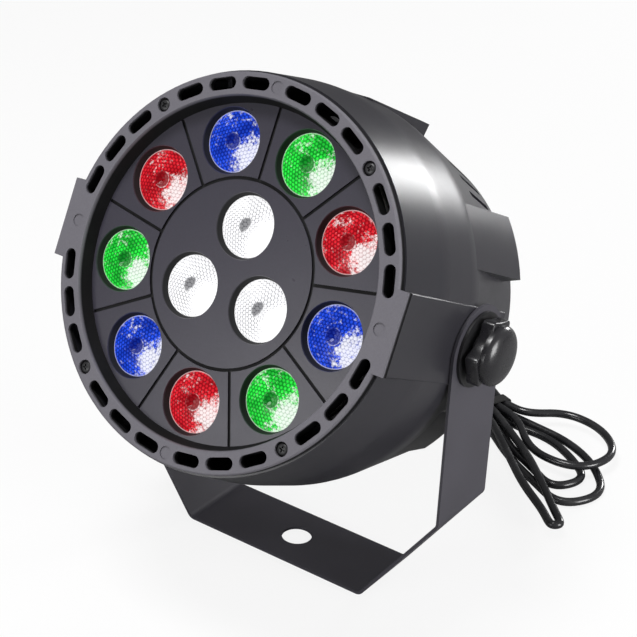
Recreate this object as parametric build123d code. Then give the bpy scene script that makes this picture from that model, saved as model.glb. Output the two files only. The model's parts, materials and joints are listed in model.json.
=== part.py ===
from build123d import *
import math
import os

# Head, in its own frame: z is 0 at the ring's face and falls towards the rear, y is up the face
face_radius = 75.0
ring_width = 8.7
ring_lip_width = 2.1
ring_thickness = 3.0
ring_bezel_wall = 1.9
ring_edge_round = 0.8
panel_depth = 6.3
panel_thickness = 3.0
panel_overlap = 3.0
tab_step = 2.4
tab_half_height = 15.5
slot_length = 12.0
slot_width = 4.8
slot_pitch_angle = 12.0
side_slots_angle = 26.0
top_slots_angle = 70.2
slots_per_group = 3
ring_screw_angle = 48.0
dimple_radius = 2.5
dimple_depth = 0.5
ring_screw_recess_radius = 2.8
ring_screw_recess_depth = 1.6

# Housing shell
shell_depth = 110.0
shell_wall = 2.4
rim_step = 0.8
barrel_swell = 3.6
flare_length = 26.0
flare_round = 60.0
shoulder_depth = 54.0
shoulder_round = 40.0
tail_fall = 10.9
tail_round = 2.5
ear_length_behind_pivot = 17.5
ear_edge_round = 0.8
block_front_depth = 46.0
block_rear_depth = 95.0
block_half_angle = 9.5
block_angles = (31.0, 90.0, 149.0, 211.0, 270.0, 329.0)
block_front_drops = (0.3, -0.8, 0.3, 0.3, 0.3, 0.3)
block_rear_drops = (0.4, 0.4, 0.4, 5.6, 5.6, 5.6)
vent_group_angles = (60.5, 119.5, 240.5, 299.5)
vents_per_group = 5
vent_pitch_angle = 6.2
vent_width = 2.6
vent_length = 26.0
vent_margin = 8.0
rib_angles = (20.0, 68.0, 112.0, 160.0, 200.0, 248.0, 292.0, 340.0)
rib_thickness = 2.0
rib_length = 14.0
rib_reach = 2.6
ring_boss_radius = 3.4
ring_boss_length = 20.0
screw_pilot_radius = 1.3
pivot_boss_radius = 8.0
pivot_boss_length = 12.0

# Lenses, their holders and the light engine
lens_view_radius = 11.8
lens_flare_radius = 12.85
outer_lens_margin = 13.9
inner_lens_circle_radius = 18.6
outer_lens_count = 9
inner_lens_count = 3
outer_lens_start_angle = 110.0
inner_lens_start_angle = 90.0
groove_width = 1.3
groove_depth = 0.9
hub_groove_radius = 36.0
lens_flange_radius = 12.6
lens_flange_thickness = 1.5
lens_body_radius = 11.4
lens_tail_radius = 5.0
lens_height = 12.5
lens_dimple_radius = 3.0
lens_dimple_depth = 1.4
lens_pocket_radius = 3.4
lens_pocket_depth = 3.2
holder_wall = 1.0
led_base_width = 5.0
led_base_height = 1.0
led_dome_radius = 1.6
led_dome_height = 1.2
led_board_margin = 2.2
led_board_thickness = 1.6
panel_post_radius = 3.2
panel_post_margin = 3.6
panel_post_angles = (90.0, 210.0, 330.0)
sink_margin = 0.4
sink_plate = 3.0
fin_count = 9
fin_pitch_share = 0.2
fin_thickness = 1.8
fin_height = 12.0
fin_field_margin = 11.6

# Driver board and what stands on it
driver_width = 100.0
driver_height = 56.0
board_thickness = 1.6
driver_stand_off = 24.0
driver_post_radius = 2.5
driver_post_x = 45.0
driver_post_y = 22.0
transformer_size = (28.0, 24.0, 16.0)
transformer_core = (22.0, 30.0, 9.0)
transformer_place = (-22.0, 2.0)
capacitor_radius = 6.5
capacitor_height = 20.0
capacitor_places = ((8.0, 14.0), (8.0, -6.0))
transistor_size = (10.2, 4.6, 15.0)
transistor_places = ((32.0, 15.0), (32.0, 0.0), (32.0, -15.0))

# Rear cover and its fittings
cover_margin = 8.0
cover_thickness = 1.5
cover_ledge_width = 5.7
cover_ledge = 1.5
cover_screw_margin = 2.7
cover_screw_angles = (0.0, 60.0, 120.0, 180.0, 240.0, 300.0)
cover_boss_radius = 2.9
cover_boss_length = 11.0
grille_radii = (5.2, 9.2, 13.2, 17.2)
grille_slot_width = 2.2
grille_spoke_width = 2.4
fan_width = 40.0
fan_depth = 10.0
fan_bore_radius = 18.8
fan_corner_round = 3.0
fan_hub_radius = 9.5
fan_tip_radius = 18.0
fan_blade_count = 7
fan_blade_thickness = 1.2
fan_blade_chord = 7.6
fan_blade_pitch_angle = 38.0
fan_shaft_radius = 1.5
fan_strut_width = 3.0
fan_strut_thickness = 1.6
fan_screw_offset = 16.0
window_width = 30.0
window_height = 12.0
window_y = 38.0
display_width = 29.0
display_height = 12.0
display_depth = 7.0
display_board_width = 56.0
display_board_bottom = 21.2
display_board_top = 46.0
display_board_depth = 8.2
display_post_radius = 2.2
display_post_x = 25.0
display_post_ys = (24.2, 43.0)
button_places = (-18.0, -6.0, 6.0, 18.0)
button_names = ("menu", "down", "up", "enter")
button_y = 27.4
button_radius = 3.5
button_proud = 1.8
button_flange_radius = 4.3
button_flange_thickness = 0.9
button_travel = 0.8
switch_width = 6.0
switch_height = 3.4
socket_x = 27.0
socket_y = -33.0
socket_flange_radius = 12.0
socket_flange_thickness = 2.0
socket_body_radius = 9.6
socket_body_length = 18.0
socket_bore_radius = 7.7
socket_bore_depth = 12.0
socket_core_radius = 6.7
contact_circle_radius = 4.7
contact_radius = 1.2
contact_length = 8.0
contact_hole_radius = 1.35
contact_angles = (90.0, 210.0, 330.0)
microphone_x = 39.0
microphone_y = 12.0
microphone_radius = 4.6
microphone_height = 4.6
microphone_hole_radius = 1.2
gland_y = -43.0
gland_thread_radius = 6.0
gland_hex_radius = 8.4
gland_hex_height = 5.0
gland_boot_base_radius = 5.2
gland_boot_tip_radius = 2.9
gland_boot_length = 26.0
gland_nut_radius = 8.2
gland_nut_height = 3.2
small_screw_head_radius = 2.5
small_screw_head_height = 1.4
small_screw_shank_radius = 1.25
small_screw_length = 9.0

# Bracket, knobs and the pivot between them
pivot_height = 119.5
head_tilt_angle = 26.0
pivot_depth = 63.8
strap_width = 35.0
strap_thickness = 1.2
bend_radius = 3.0
base_half_length = 44.9
arm_bottom_height = 47.6
arm_gap = 0.3
strap_corner_round = 1.0
base_hole_radius = 6.5
arm_hole_radius = 3.4
stud_radius = 3.0
insert_radius = 4.9
insert_length = 11.0
washer_radius = 15.0
washer_thickness = 1.2
knob_radius = 15.9
knob_wing_count = 3
knob_wing_half_angle = 28.0
knob_wing_phase = 75.0
knob_wing_dip = 1.3
knob_waist_radius = 8.9
knob_corner_round = 1.6
knob_thickness = 5.2
knob_cap_radius = 10.2
knob_cap_height = 5.2
knob_cap_round = 3.6
knob_edge_round = 0.8
knob_foot_radius = 8.2
knob_foot_height = 1.2

# Cord, its hank behind the right arm, the tie and the plug
cord_radius = 1.9
cord_floor_gap = 0.15
layer_gap = 0.85
cord_route = (
    (0.0, 66.0, 39.5),
    (-12.0, 79.0, 26.0),
    (-22.0, 91.0, 14.0),
    (-28.4, 103.0, 6.0),
    (-29.8, 115.3, 2.9),
    (-27.0, 126.4, 2.6),
    (-19.2, 134.2, 2.75),
)
cord_run_share = 0.45
hank_start = (-9.5, 136.6)
hank_start_angle = 14.0
hank_straight = 4.5
waist_place = (11.5, 143.0)
waist_angle = -22.0
waist_half_length = 5.0
waist_step = 5.05
waist_slots = 4
waist_fan_angles = (14.0, 2.0, -14.0, -16.0)
# Each loop: slot and layer it leaves the tie by, angle, reach, near flank, far flank, near share, nose
hank_loops = (
    (3, 0, -8.0, 77.0, 12.0, 22.0, 0.55, 0.0),
    (0, 0, 178.0, 82.0, 19.0, 24.0, 0.55, 0.0),
    (2, 0, -6.0, 63.0, 8.0, 14.0, 0.55, 0.0),
    (1, 0, 185.0, 53.0, 10.0, 10.0, 0.55, 0.0),
    (3, 1, -22.6, 99.0, 5.5, 3.5, 0.55, 2.6),
    (2, 1, 173.0, 33.0, 6.5, 4.5, 0.55, 0.0),
    (1, 1, 14.0, 62.0, 17.0, 24.0, 0.72, 0.0),
)
far_flank_share = 0.55
hank_end_slot = 0
hank_end_layer = 1
tail_lead = 12.0
tail_route = (
    (-10.5, 173.5, 5.4),
    (-17.5, 185.5, 3.0),
    (-28.5, 194.0, 2.1),
    (-42.0, 198.5, 2.1),
    (-56.0, 200.2, 3.3),
    (-68.5, 199.5, 6.9),
)
plug_place = (-80.5, 199.5, 6.9)
tie_width = 5.0
tie_thickness = 0.7
tie_bite = 0.03
tie_corner_round = 1.6
plug_angle = 180.0
plug_collar_radius = 3.6
plug_collar_length = 10.0
plug_collar_share = 0.75
plug_width = 26.0
plug_thickness = 13.4
plug_length = 27.0
plug_corner_round = 4.0
plug_pin_radius = 2.0
plug_pin_length = 18.6
plug_pin_spacing = 19.0

# Clearances
running_gap = 0.05
seat_gap = 0.05
slide_gap = 0.2
loose_gap = 0.3
overrun = 1.0
straight_limit = 1e-6

# Radii that follow from the face's
ring_inner_radius = face_radius - ring_width
ring_lip_radius = ring_inner_radius - ring_lip_width
slot_circle_radius = face_radius - ring_width / 2
tab_reach = face_radius + tab_step
rim_radius = face_radius + rim_step
barrel_radius = face_radius + barrel_swell
tail_radius = barrel_radius - tail_fall
outer_lens_circle_radius = ring_lip_radius - outer_lens_margin
led_board_radius = ring_lip_radius - led_board_margin
panel_post_circle_radius = led_board_radius - panel_post_margin
sink_radius = led_board_radius - sink_margin
fin_field_radius = sink_radius - fin_field_margin
fin_pitch = fin_field_radius * fin_pitch_share
cover_radius = tail_radius - cover_margin
cover_ledge_radius = cover_radius - cover_ledge_width
cover_screw_circle_radius = cover_radius - cover_screw_margin

# Depths that follow from the sizes above, all along the head's axis
panel_back = -(panel_depth + panel_thickness)
lens_front = panel_back - seat_gap
lens_back = lens_front - lens_height
board_front = lens_back - led_base_height - seat_gap
board_back = board_front - led_board_thickness
sink_back = board_back - sink_plate
driver_front = sink_back - driver_stand_off
driver_back = driver_front - board_thickness
cover_face = -shell_depth
cover_inner = cover_face + cover_thickness
fan_back = cover_inner + seat_gap
fan_front = fan_back + fan_depth
display_board_back = cover_inner + display_board_depth
display_board_front = display_board_back + board_thickness
panel_radius = ring_lip_radius + panel_overlap
pilot_depth = small_screw_length + overrun
arm_inner = tab_reach + arm_gap
arm_outer = arm_inner + strap_thickness
bottom = (Align.CENTER, Align.CENTER, Align.MIN)


def disc(radius, front, back):
    """A round slab between two depths."""
    return Pos(0, 0, back) * Cylinder(radius, front - back, align=bottom)


def tapered_disc(front_radius, back_radius, front, back):
    """A slab whose radius changes evenly from front to back."""
    return Pos(0, 0, back) * Cone(back_radius, front_radius, front - back, align=bottom)


def slab(width, height, front, back):
    """A rectangular slab between two depths."""
    return Pos(0, 0, back) * Box(width, height, front - back, align=bottom)


def polar(radius, angle):
    """The place at a radius and an angle on the face."""
    return Pos(radius * math.cos(math.radians(angle)), radius * math.sin(math.radians(angle)), 0)


def spun(points, radii=None):
    """A solid turned about the head's axis from an outline of (radius, depth) points."""
    radii = radii or [0] * len(points)
    outline = FilletPolyline(*[(r, 0, z) for r, z in points], radius=radii, close=True)
    return revolve(make_face(outline), axis=Axis.Z)


def group(solids):
    """Separate solids that share a node."""
    return Compound(children=list(solids))


def screw(head_seat, length, towards=1):
    """A small pan-head screw whose head stands on its seat and whose shank runs the other way."""
    head = Cylinder(small_screw_head_radius, small_screw_head_height, align=bottom)
    shank = Cylinder(small_screw_shank_radius, length, align=(Align.CENTER, Align.CENTER, Align.MAX))
    turn = Rot(0, 0, 0) if towards > 0 else Rot(180, 0, 0)
    return Pos(0, 0, head_seat) * turn * (head + shank)


def lens_spots():
    """The places of the twelve lenses, the outer nine first."""
    outer = [
        polar(outer_lens_circle_radius, outer_lens_start_angle - 360 / outer_lens_count * i)
        for i in range(outer_lens_count)
    ]
    inner = [
        polar(inner_lens_circle_radius, inner_lens_start_angle + 360 / inner_lens_count * i)
        for i in range(inner_lens_count)
    ]
    return outer + inner


def slot_angles():
    """The angles of the vent slots, in threes between each dimple and the next screw."""
    steps = [slot_pitch_angle * (i - (slots_per_group - 1) / 2) for i in range(slots_per_group)]
    quarter = [centre + step for centre in (side_slots_angle, top_slots_angle) for step in steps]
    return [a for q in quarter for a in (q, 180 - q, 180 + q, 360 - q)]


def ring_screw_angles():
    return [ring_screw_angle, 180 - ring_screw_angle, 180 + ring_screw_angle, 360 - ring_screw_angle]


def front_ring():
    bezel_outer = ring_inner_radius + ring_bezel_wall
    ring = spun(
        [
            (ring_inner_radius, 0),
            (face_radius, 0),
            (face_radius, -ring_thickness),
            (bezel_outer, -ring_thickness),
            (bezel_outer, -panel_depth),
            (ring_lip_radius, -panel_depth),
        ],
        [ring_edge_round / 2, ring_edge_round, 0, 0, 0, 0],
    )
    tabs = slab(2 * tab_reach, 2 * tab_half_height, 0, -ring_thickness)
    tabs -= disc(slot_circle_radius, overrun, -ring_thickness - overrun)
    ring += tabs
    slots = Sketch() + [
        Rot(0, 0, a) * Pos(slot_circle_radius, 0, 0) * Rot(0, 0, 90) * SlotOverall(slot_length, slot_width)
        for a in slot_angles()
    ]
    ring -= Pos(0, 0, overrun) * extrude(slots, -(ring_thickness + 2 * overrun))
    for a in (0, 90, 180, 270):
        ring -= polar(slot_circle_radius, a) * disc(dimple_radius, overrun, -dimple_depth)
    for a in ring_screw_angles():
        ring -= polar(slot_circle_radius, a) * disc(ring_screw_recess_radius, overrun, -ring_screw_recess_depth)
        ring -= polar(slot_circle_radius, a) * disc(
            small_screw_shank_radius + slide_gap, overrun, -ring_thickness - overrun
        )
    return ring


def ring_screws():
    seat = -ring_screw_recess_depth
    return group(polar(slot_circle_radius, a) * screw(seat, small_screw_length) for a in ring_screw_angles())


def lens_panel():
    panel = disc(panel_radius, -panel_depth, panel_back)
    for spot in lens_spots():
        panel -= spot * tapered_disc(lens_flare_radius, lens_view_radius, -panel_depth, panel_back)
    floor = -panel_depth - groove_depth
    cuts = disc(hub_groove_radius + groove_width / 2, 0, floor) - disc(hub_groove_radius - groove_width / 2, 0, floor)
    groove_run = ring_lip_radius - hub_groove_radius
    for i in range(outer_lens_count):
        angle = outer_lens_start_angle + 180 / outer_lens_count + 360 / outer_lens_count * i
        middle = hub_groove_radius + groove_run / 2
        cuts += Rot(0, 0, angle) * Pos(middle, 0, 0) * slab(groove_run, groove_width, 0, floor)
    panel -= cuts
    for a in panel_post_angles:
        post = disc(panel_post_radius, panel_back, board_front + seat_gap)
        post -= disc(screw_pilot_radius, panel_back - overrun, board_front)
        panel += polar(panel_post_circle_radius, a) * post
    return panel


def lens():
    """A moulded collimator lens with a dimple in its face and a pocket over the emitter."""
    flange_back = lens_front - lens_flange_thickness
    body = disc(lens_flange_radius, lens_front, flange_back)
    body += tapered_disc(lens_body_radius, lens_tail_radius, flange_back, lens_back)
    body -= tapered_disc(lens_dimple_radius, lens_dimple_radius / 2, lens_front, lens_front - lens_dimple_depth)
    return body - disc(lens_pocket_radius, lens_back + lens_pocket_depth, lens_back)


def lens_holder():
    """A black cup that stands on the board and carries the lens by its flange."""
    flange_back = lens_front - lens_flange_thickness
    inner = lens_flange_radius + slide_gap
    cup = disc(inner + holder_wall, panel_back - slide_gap, board_front)
    cup -= disc(inner, panel_back, flange_back - seat_gap)
    cone_top = lens_body_radius + slide_gap
    cone_end = lens_tail_radius + slide_gap
    return cup - tapered_disc(cone_top, cone_end, flange_back - seat_gap, board_front)


def led():
    base = slab(led_base_width, led_base_width, board_front + led_base_height, board_front)
    top = board_front + led_base_height
    return base + tapered_disc(led_dome_radius / 2, led_dome_radius, top + led_dome_height, top)


def led_board():
    board = disc(led_board_radius, board_front, board_back)
    for a in panel_post_angles:
        board -= polar(panel_post_circle_radius, a) * disc(small_screw_shank_radius + slide_gap, 0, board_back - overrun)
    return board


def heat_sink():
    sink = disc(sink_radius, board_back, sink_back)
    fins = Part()
    for i in range(fin_count):
        x = fin_pitch * (i - (fin_count - 1) / 2)
        half = math.sqrt(fin_field_radius**2 - x**2)
        fins += Pos(x, 0, 0) * slab(fin_thickness, 2 * half, sink_back, sink_back - fin_height)
    sink += fins
    for a in panel_post_angles:
        sink -= polar(panel_post_circle_radius, a) * disc(small_screw_shank_radius + slide_gap, 0, sink_back - overrun)
    return sink


def sink_screws():
    reach = sink_plate + led_board_thickness + small_screw_length / 2
    return group(polar(panel_post_circle_radius, a) * screw(sink_back, reach, -1) for a in panel_post_angles)


def shell_form(inset):
    """The bowl's outer form, drawn in by an inset to give its inner form."""
    rear = -shell_depth + inset
    front = -ring_thickness + (overrun if inset else 0)
    rim = rim_radius - inset
    barrel = barrel_radius - inset
    tail = tail_radius - inset
    return spun(
        [
            (0, front),
            (rim, front),
            (barrel, -ring_thickness - flare_length),
            (barrel, -shoulder_depth),
            (tail, rear),
            (0, rear),
        ],
        [0, 0, flare_round, shoulder_round, tail_round, 0],
    )


def vent_blocks(inset):
    """Raised blocks round the rear, whose tops nearly keep the barrel's radius while the bowl falls away."""
    front = -block_front_depth - inset
    rear = -block_rear_depth + inset
    half = block_half_angle - math.degrees(inset / barrel_radius)
    reach = barrel_radius - inset
    blocks = Part()
    for a, front_drop, rear_drop in zip(block_angles, block_front_drops, block_rear_drops):
        corners = [(0, front), (reach - front_drop, front), (reach - rear_drop, rear), (0, rear)]
        outline = make_face(Polyline(*[(r, 0, z) for r, z in corners], close=True))
        blocks += Rot(0, 0, a - half) * revolve(outline, axis=Axis.Z, revolution_arc=2 * half)
    return blocks


def ear_blocks(inset):
    """The flat-faced sides that stand between the bracket's arms."""
    rear = -(pivot_depth + ear_length_behind_pivot) + inset
    half = tab_half_height - inset
    front = -ring_thickness + (overrun if inset else 0)
    ears = slab(2 * (tab_reach - inset), 2 * half, front, rear)
    return ears - slab(barrel_radius, 2 * half + overrun, front + overrun, rear - overrun)


def along_pivot(radius, start, end, sides=(1, -1)):
    """Round bars on the tilt axis, from one reach to another on each side named."""
    bars = Part()
    for side in sides:
        bar = Cylinder(radius, end - start, align=bottom)
        bars += Pos(side * start, 0, -pivot_depth) * Rot(0, side * 90, 0) * bar
    return bars


def housing():
    outer = shell_form(0)
    outer += vent_blocks(0)
    flats = slab(2 * tab_reach, 2 * barrel_radius, 0, -shell_depth)
    outer = outer & flats
    ears = ear_blocks(0)
    ears = fillet(ears.edges().filter_by(Axis.Z).group_by(SortBy.DISTANCE)[-1], ear_edge_round)
    outer += ears
    inner = shell_form(shell_wall)
    inner += vent_blocks(shell_wall)
    inner = inner & slab(2 * (tab_reach - shell_wall), 2 * barrel_radius, overrun, -shell_depth)
    inner += ear_blocks(shell_wall)
    shell = outer - inner
    seat = cover_face + cover_thickness
    shell += disc(cover_radius + slide_gap + shell_wall, seat + cover_ledge, cover_face)
    shell -= disc(cover_radius + slide_gap, seat, cover_face - overrun)
    shell -= disc(cover_ledge_radius, seat + cover_ledge + overrun, cover_face)
    for a in cover_screw_angles:
        boss = disc(cover_boss_radius, seat + cover_boss_length, seat)
        shell += polar(cover_screw_circle_radius, a) * boss
        shell -= polar(cover_screw_circle_radius, a) * disc(screw_pilot_radius, seat + pilot_depth, seat - overrun)
    inner_form = shell_form(shell_wall / 2)
    for a in ring_screw_angles():
        boss = disc(ring_boss_radius, -ring_thickness, -ring_thickness - ring_boss_length)
        boss += Pos(ring_boss_radius, 0, 0) * slab(
            2 * ring_boss_radius, rib_thickness, -ring_thickness, -ring_thickness - ring_boss_length
        )
        boss = Rot(0, 0, a) * Pos(slot_circle_radius, 0, 0) * boss
        shell += boss & inner_form
        shell -= polar(slot_circle_radius, a) * disc(screw_pilot_radius, 0, -ring_thickness - pilot_depth)
    shell -= disc(ring_inner_radius + ring_bezel_wall + slide_gap, 0, panel_back)
    for a in rib_angles:
        rib_start = panel_radius - rib_reach
        rib = slab(barrel_radius - rib_start, rib_thickness, panel_back - seat_gap, panel_back - rib_length)
        rib = Rot(0, 0, a) * Pos((barrel_radius + rib_start) / 2, 0, 0) * rib
        shell += rib & inner_form
    shell += along_pivot(pivot_boss_radius, tab_reach - pivot_boss_length, tab_reach - shell_wall / 2)
    shell -= along_pivot(insert_radius + running_gap, tab_reach - insert_length, tab_reach + overrun)
    shell -= along_pivot(stud_radius + running_gap, tab_reach - pivot_boss_length - overrun, tab_reach)
    vent_middle = -shell_depth + vent_margin + vent_length / 2
    for centre in vent_group_angles:
        for i in range(vents_per_group):
            a = centre + vent_pitch_angle * (i - (vents_per_group - 1) / 2)
            cut = extrude(SlotOverall(vent_length, vent_width), barrel_radius - tail_radius + 2 * shell_wall)
            cut = Pos(tail_radius - 2 * shell_wall, 0, vent_middle) * Rot(0, 90, 0) * cut
            shell -= Rot(0, 0, a) * cut
    return shell


def pivot_insert(side):
    insert = along_pivot(insert_radius, tab_reach - insert_length, tab_reach, (side,))
    return insert - along_pivot(stud_radius + running_gap, 0, tab_reach + overrun, (side,))


def driver_board():
    board = slab(driver_width, driver_height, driver_front, driver_back)
    for x in (-driver_post_x, driver_post_x):
        for y in (-driver_post_y, driver_post_y):
            board -= Pos(x, y, 0) * disc(small_screw_shank_radius + slide_gap, 0, driver_back - overrun)
    return board


def driver_posts():
    return group(
        Pos(x, y, 0) * disc(driver_post_radius, sink_back, driver_front)
        for x in (-driver_post_x, driver_post_x)
        for y in (-driver_post_y, driver_post_y)
    )


def transformer():
    w, h, d = transformer_size
    cw, ch, cd = transformer_core
    body = slab(w, h, driver_back, driver_back - d)
    core_front = driver_back - (d - cd) / 2
    body += slab(cw, ch, core_front, core_front - cd)
    return Pos(*transformer_place, 0) * body


def capacitors():
    can = disc(capacitor_radius, driver_back, driver_back - capacitor_height)
    return group(Pos(x, y, 0) * can for x, y in capacitor_places)


def transistors():
    w, h, d = transistor_size
    return group(Pos(x, y, 0) * slab(w, h, driver_back, driver_back - d) for x, y in transistor_places)


def grille_cuts():
    """Ring slots over the fan, broken by two crossing spokes."""
    cuts = Part()
    for r in grille_radii:
        band = disc(r + grille_slot_width / 2, cover_inner + overrun, cover_face - overrun)
        cuts += band - disc(r - grille_slot_width / 2, cover_inner + overrun, cover_face - overrun)
    for a in (45, 135):
        spoke = slab(fan_width, grille_spoke_width, cover_inner + overrun, cover_face - overrun)
        cuts -= Rot(0, 0, a) * spoke
    return cuts


def rear_cover():
    cover = disc(cover_radius, cover_inner, cover_face)
    cover -= grille_cuts()
    through = (cover_inner + overrun, cover_face - overrun)
    cover -= Pos(0, window_y, 0) * slab(window_width + slide_gap, window_height + slide_gap, *through)
    for x in button_places:
        cover -= Pos(x, button_y, 0) * disc(button_radius + slide_gap, *through)
    for x in (-socket_x, socket_x):
        cover -= Pos(x, socket_y, 0) * disc(socket_body_radius + slide_gap, *through)
    cover -= Pos(0, gland_y, 0) * disc(gland_thread_radius + slide_gap, *through)
    cover -= Pos(microphone_x, microphone_y, 0) * disc(microphone_hole_radius, *through)
    for a in cover_screw_angles:
        cover -= polar(cover_screw_circle_radius, a) * disc(small_screw_shank_radius + slide_gap, *through)
    for x in (-fan_screw_offset, fan_screw_offset):
        for y in (-fan_screw_offset, fan_screw_offset):
            cover -= Pos(x, y, 0) * disc(small_screw_shank_radius + slide_gap, *through)
    return cover


def rear_screws():
    places = [polar(cover_screw_circle_radius, a) for a in cover_screw_angles]
    places += [Pos(x, y, 0) for x in (-fan_screw_offset, fan_screw_offset) for y in (-fan_screw_offset, fan_screw_offset)]
    return group(place * screw(cover_face, small_screw_length, -1) for place in places)


def fan_frame():
    frame = extrude(
        Pos(0, 0, fan_back) * RectangleRounded(fan_width, fan_width, fan_corner_round), fan_depth
    )
    frame -= disc(fan_bore_radius, fan_front + overrun, fan_back - overrun)
    struts = Part()
    for a in (0, 60, 120):
        struts += Rot(0, 0, a) * slab(2 * fan_bore_radius, fan_strut_width, fan_front, fan_front - fan_strut_thickness)
    struts += disc(fan_hub_radius, fan_front, fan_front - fan_strut_thickness)
    struts -= disc(fan_shaft_radius + running_gap, fan_front + overrun, fan_back)
    frame += struts & disc(fan_bore_radius + overrun, fan_front, fan_back)
    for x in (-fan_screw_offset, fan_screw_offset):
        for y in (-fan_screw_offset, fan_screw_offset):
            frame -= Pos(x, y, 0) * disc(small_screw_shank_radius + running_gap, fan_front + overrun, fan_back - overrun)
    return frame


def fan_rotor():
    front = fan_front - fan_strut_thickness - loose_gap
    back = fan_back + loose_gap
    rotor = disc(fan_hub_radius, front, back)
    shaft = disc(fan_shaft_radius, fan_front, front)
    blade_length = fan_tip_radius - fan_hub_radius + overrun
    blade = Box(blade_length, fan_blade_chord, fan_blade_thickness)
    place = Pos(fan_hub_radius - overrun + blade_length / 2, 0, (front + back) / 2)
    for i in range(fan_blade_count):
        rotor += Rot(0, 0, 360 / fan_blade_count * i) * place * Rot(fan_blade_pitch_angle, 0, 0) * blade
    return rotor + shaft


def display_window():
    return Pos(0, window_y, 0) * slab(window_width, window_height, cover_inner, cover_face)


def display_module():
    front = display_board_back
    return Pos(0, window_y, 0) * slab(display_width, display_height, front, front - display_depth)


def display_board():
    height = display_board_top - display_board_bottom
    middle = (display_board_top + display_board_bottom) / 2
    board = Pos(0, middle, 0) * slab(display_board_width, height, display_board_front, display_board_back)
    return board


def display_posts():
    return group(
        Pos(x, y, 0) * disc(display_post_radius, display_board_back, cover_inner)
        for x in (-display_post_x, display_post_x)
        for y in display_post_ys
    )


def tact_switches():
    top = display_board_back - switch_height
    return group(Pos(x, button_y, 0) * slab(switch_width, switch_width, display_board_back, top) for x in button_places)


def push_button(x):
    flange_back = cover_inner + seat_gap
    end = display_board_back - switch_height - button_travel - slide_gap
    cap = disc(button_radius, end, cover_face - button_proud)
    cap += disc(button_flange_radius, flange_back + button_flange_thickness, flange_back)
    return Pos(x, button_y, 0) * cap


def socket_shell():
    flange_top = cover_face - socket_flange_thickness
    shell = disc(socket_flange_radius, cover_face, flange_top)
    shell += disc(socket_body_radius, flange_top + socket_body_length, flange_top)
    return shell - disc(socket_bore_radius, flange_top + socket_bore_depth, flange_top - overrun)


def signal_socket_in():
    return Pos(-socket_x, socket_y, 0) * socket_shell()


def signal_contacts():
    floor = cover_face - socket_flange_thickness + socket_bore_depth
    return group(
        Pos(-socket_x, socket_y, 0) * polar(contact_circle_radius, a) * disc(contact_radius, floor, floor - contact_length)
        for a in contact_angles
    )


def signal_socket_out():
    flange_top = cover_face - socket_flange_thickness
    core = disc(socket_core_radius, flange_top + socket_bore_depth, flange_top)
    for a in contact_angles:
        core -= polar(contact_circle_radius, a) * disc(contact_hole_radius, flange_top + contact_length, flange_top - overrun)
    return Pos(socket_x, socket_y, 0) * (socket_shell() + core)


def microphone():
    front = cover_inner + seat_gap
    return Pos(microphone_x, microphone_y, 0) * disc(microphone_radius, front + microphone_height, front)


def cord_gland():
    hexagon = extrude(RegularPolygon(gland_hex_radius, 6), gland_hex_height)
    body = Pos(0, 0, cover_face - gland_hex_height) * hexagon
    thread_end = cover_inner + gland_nut_height + overrun
    body += disc(gland_thread_radius, thread_end, cover_face)
    boot_start = cover_face - gland_hex_height
    boot_end = boot_start - gland_boot_length
    body += tapered_disc(gland_boot_base_radius, gland_boot_tip_radius, boot_start, boot_end)
    return Pos(0, gland_y, 0) * body


def gland_nut():
    nut = extrude(RegularPolygon(gland_nut_radius, 6), gland_nut_height)
    nut = Pos(0, 0, cover_inner + seat_gap) * nut
    nut -= disc(gland_thread_radius + seat_gap, 0, cover_face)
    return Pos(0, gland_y, 0) * nut


def strap_outline(inset, radius):
    """Half of the strap's profile at an inset from its outer side, from the base's middle to an arm's top."""
    slant = math.atan2(arm_bottom_height, arm_outer - base_half_length)
    corner_x = base_half_length - inset * math.tan(slant / 2)
    elbow_z = arm_bottom_height + inset * math.tan((math.pi / 2 - slant) / 2)
    arm_top = pivot_height + strap_width / 2
    side = [(corner_x, inset), (arm_outer - inset, elbow_z), (arm_outer - inset, arm_top)]
    return side


def bracket():
    """One strap of sheet, bent up at four places, with round-ended arms."""
    outer = strap_outline(0, bend_radius + strap_thickness)
    inner = strap_outline(strap_thickness, bend_radius)
    mirrored = [(-x, z) for x, z in reversed(outer)]
    inner_back = [(-x, z) for x, z in inner]
    points = mirrored + outer + list(reversed(inner)) + inner_back
    wide = bend_radius + strap_thickness
    radii = [0, wide, wide, wide, wide, 0, 0, bend_radius, bend_radius, bend_radius, bend_radius, 0]
    outline = FilletPolyline(*[(x, 0, z) for x, z in points], radius=radii, close=True)
    strap = extrude(make_face(outline), strap_width / 2, dir=(0, 1, 0), both=True)
    reach = 2 * arm_outer
    arm_end = Pos(0, 0, pivot_height) * Rot(0, 90, 0) * Cylinder(strap_width / 2, reach)
    below = Box(reach, strap_width, pivot_height, align=bottom)
    strap = strap & (arm_end + below)
    strap -= Pos(0, 0, pivot_height) * Rot(0, 90, 0) * Cylinder(arm_hole_radius, reach)
    return strap - Cylinder(base_hole_radius, 2 * bend_radius + overrun)


def pivot_bar(radius, start, end, side):
    """A round bar on the tilt axis in the bracket's frame."""
    bar = Cylinder(radius, end - start, align=bottom)
    return Pos(side * start, 0, pivot_height) * Rot(0, side * 90, 0) * bar


def friction_washer(side):
    washer = pivot_bar(washer_radius, arm_outer, arm_outer + washer_thickness, side)
    return washer - pivot_bar(stud_radius + slide_gap, 0, 2 * arm_outer, side)


def knob_point(radius, angle):
    return (radius * math.cos(math.radians(angle)), radius * math.sin(math.radians(angle)))


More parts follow.
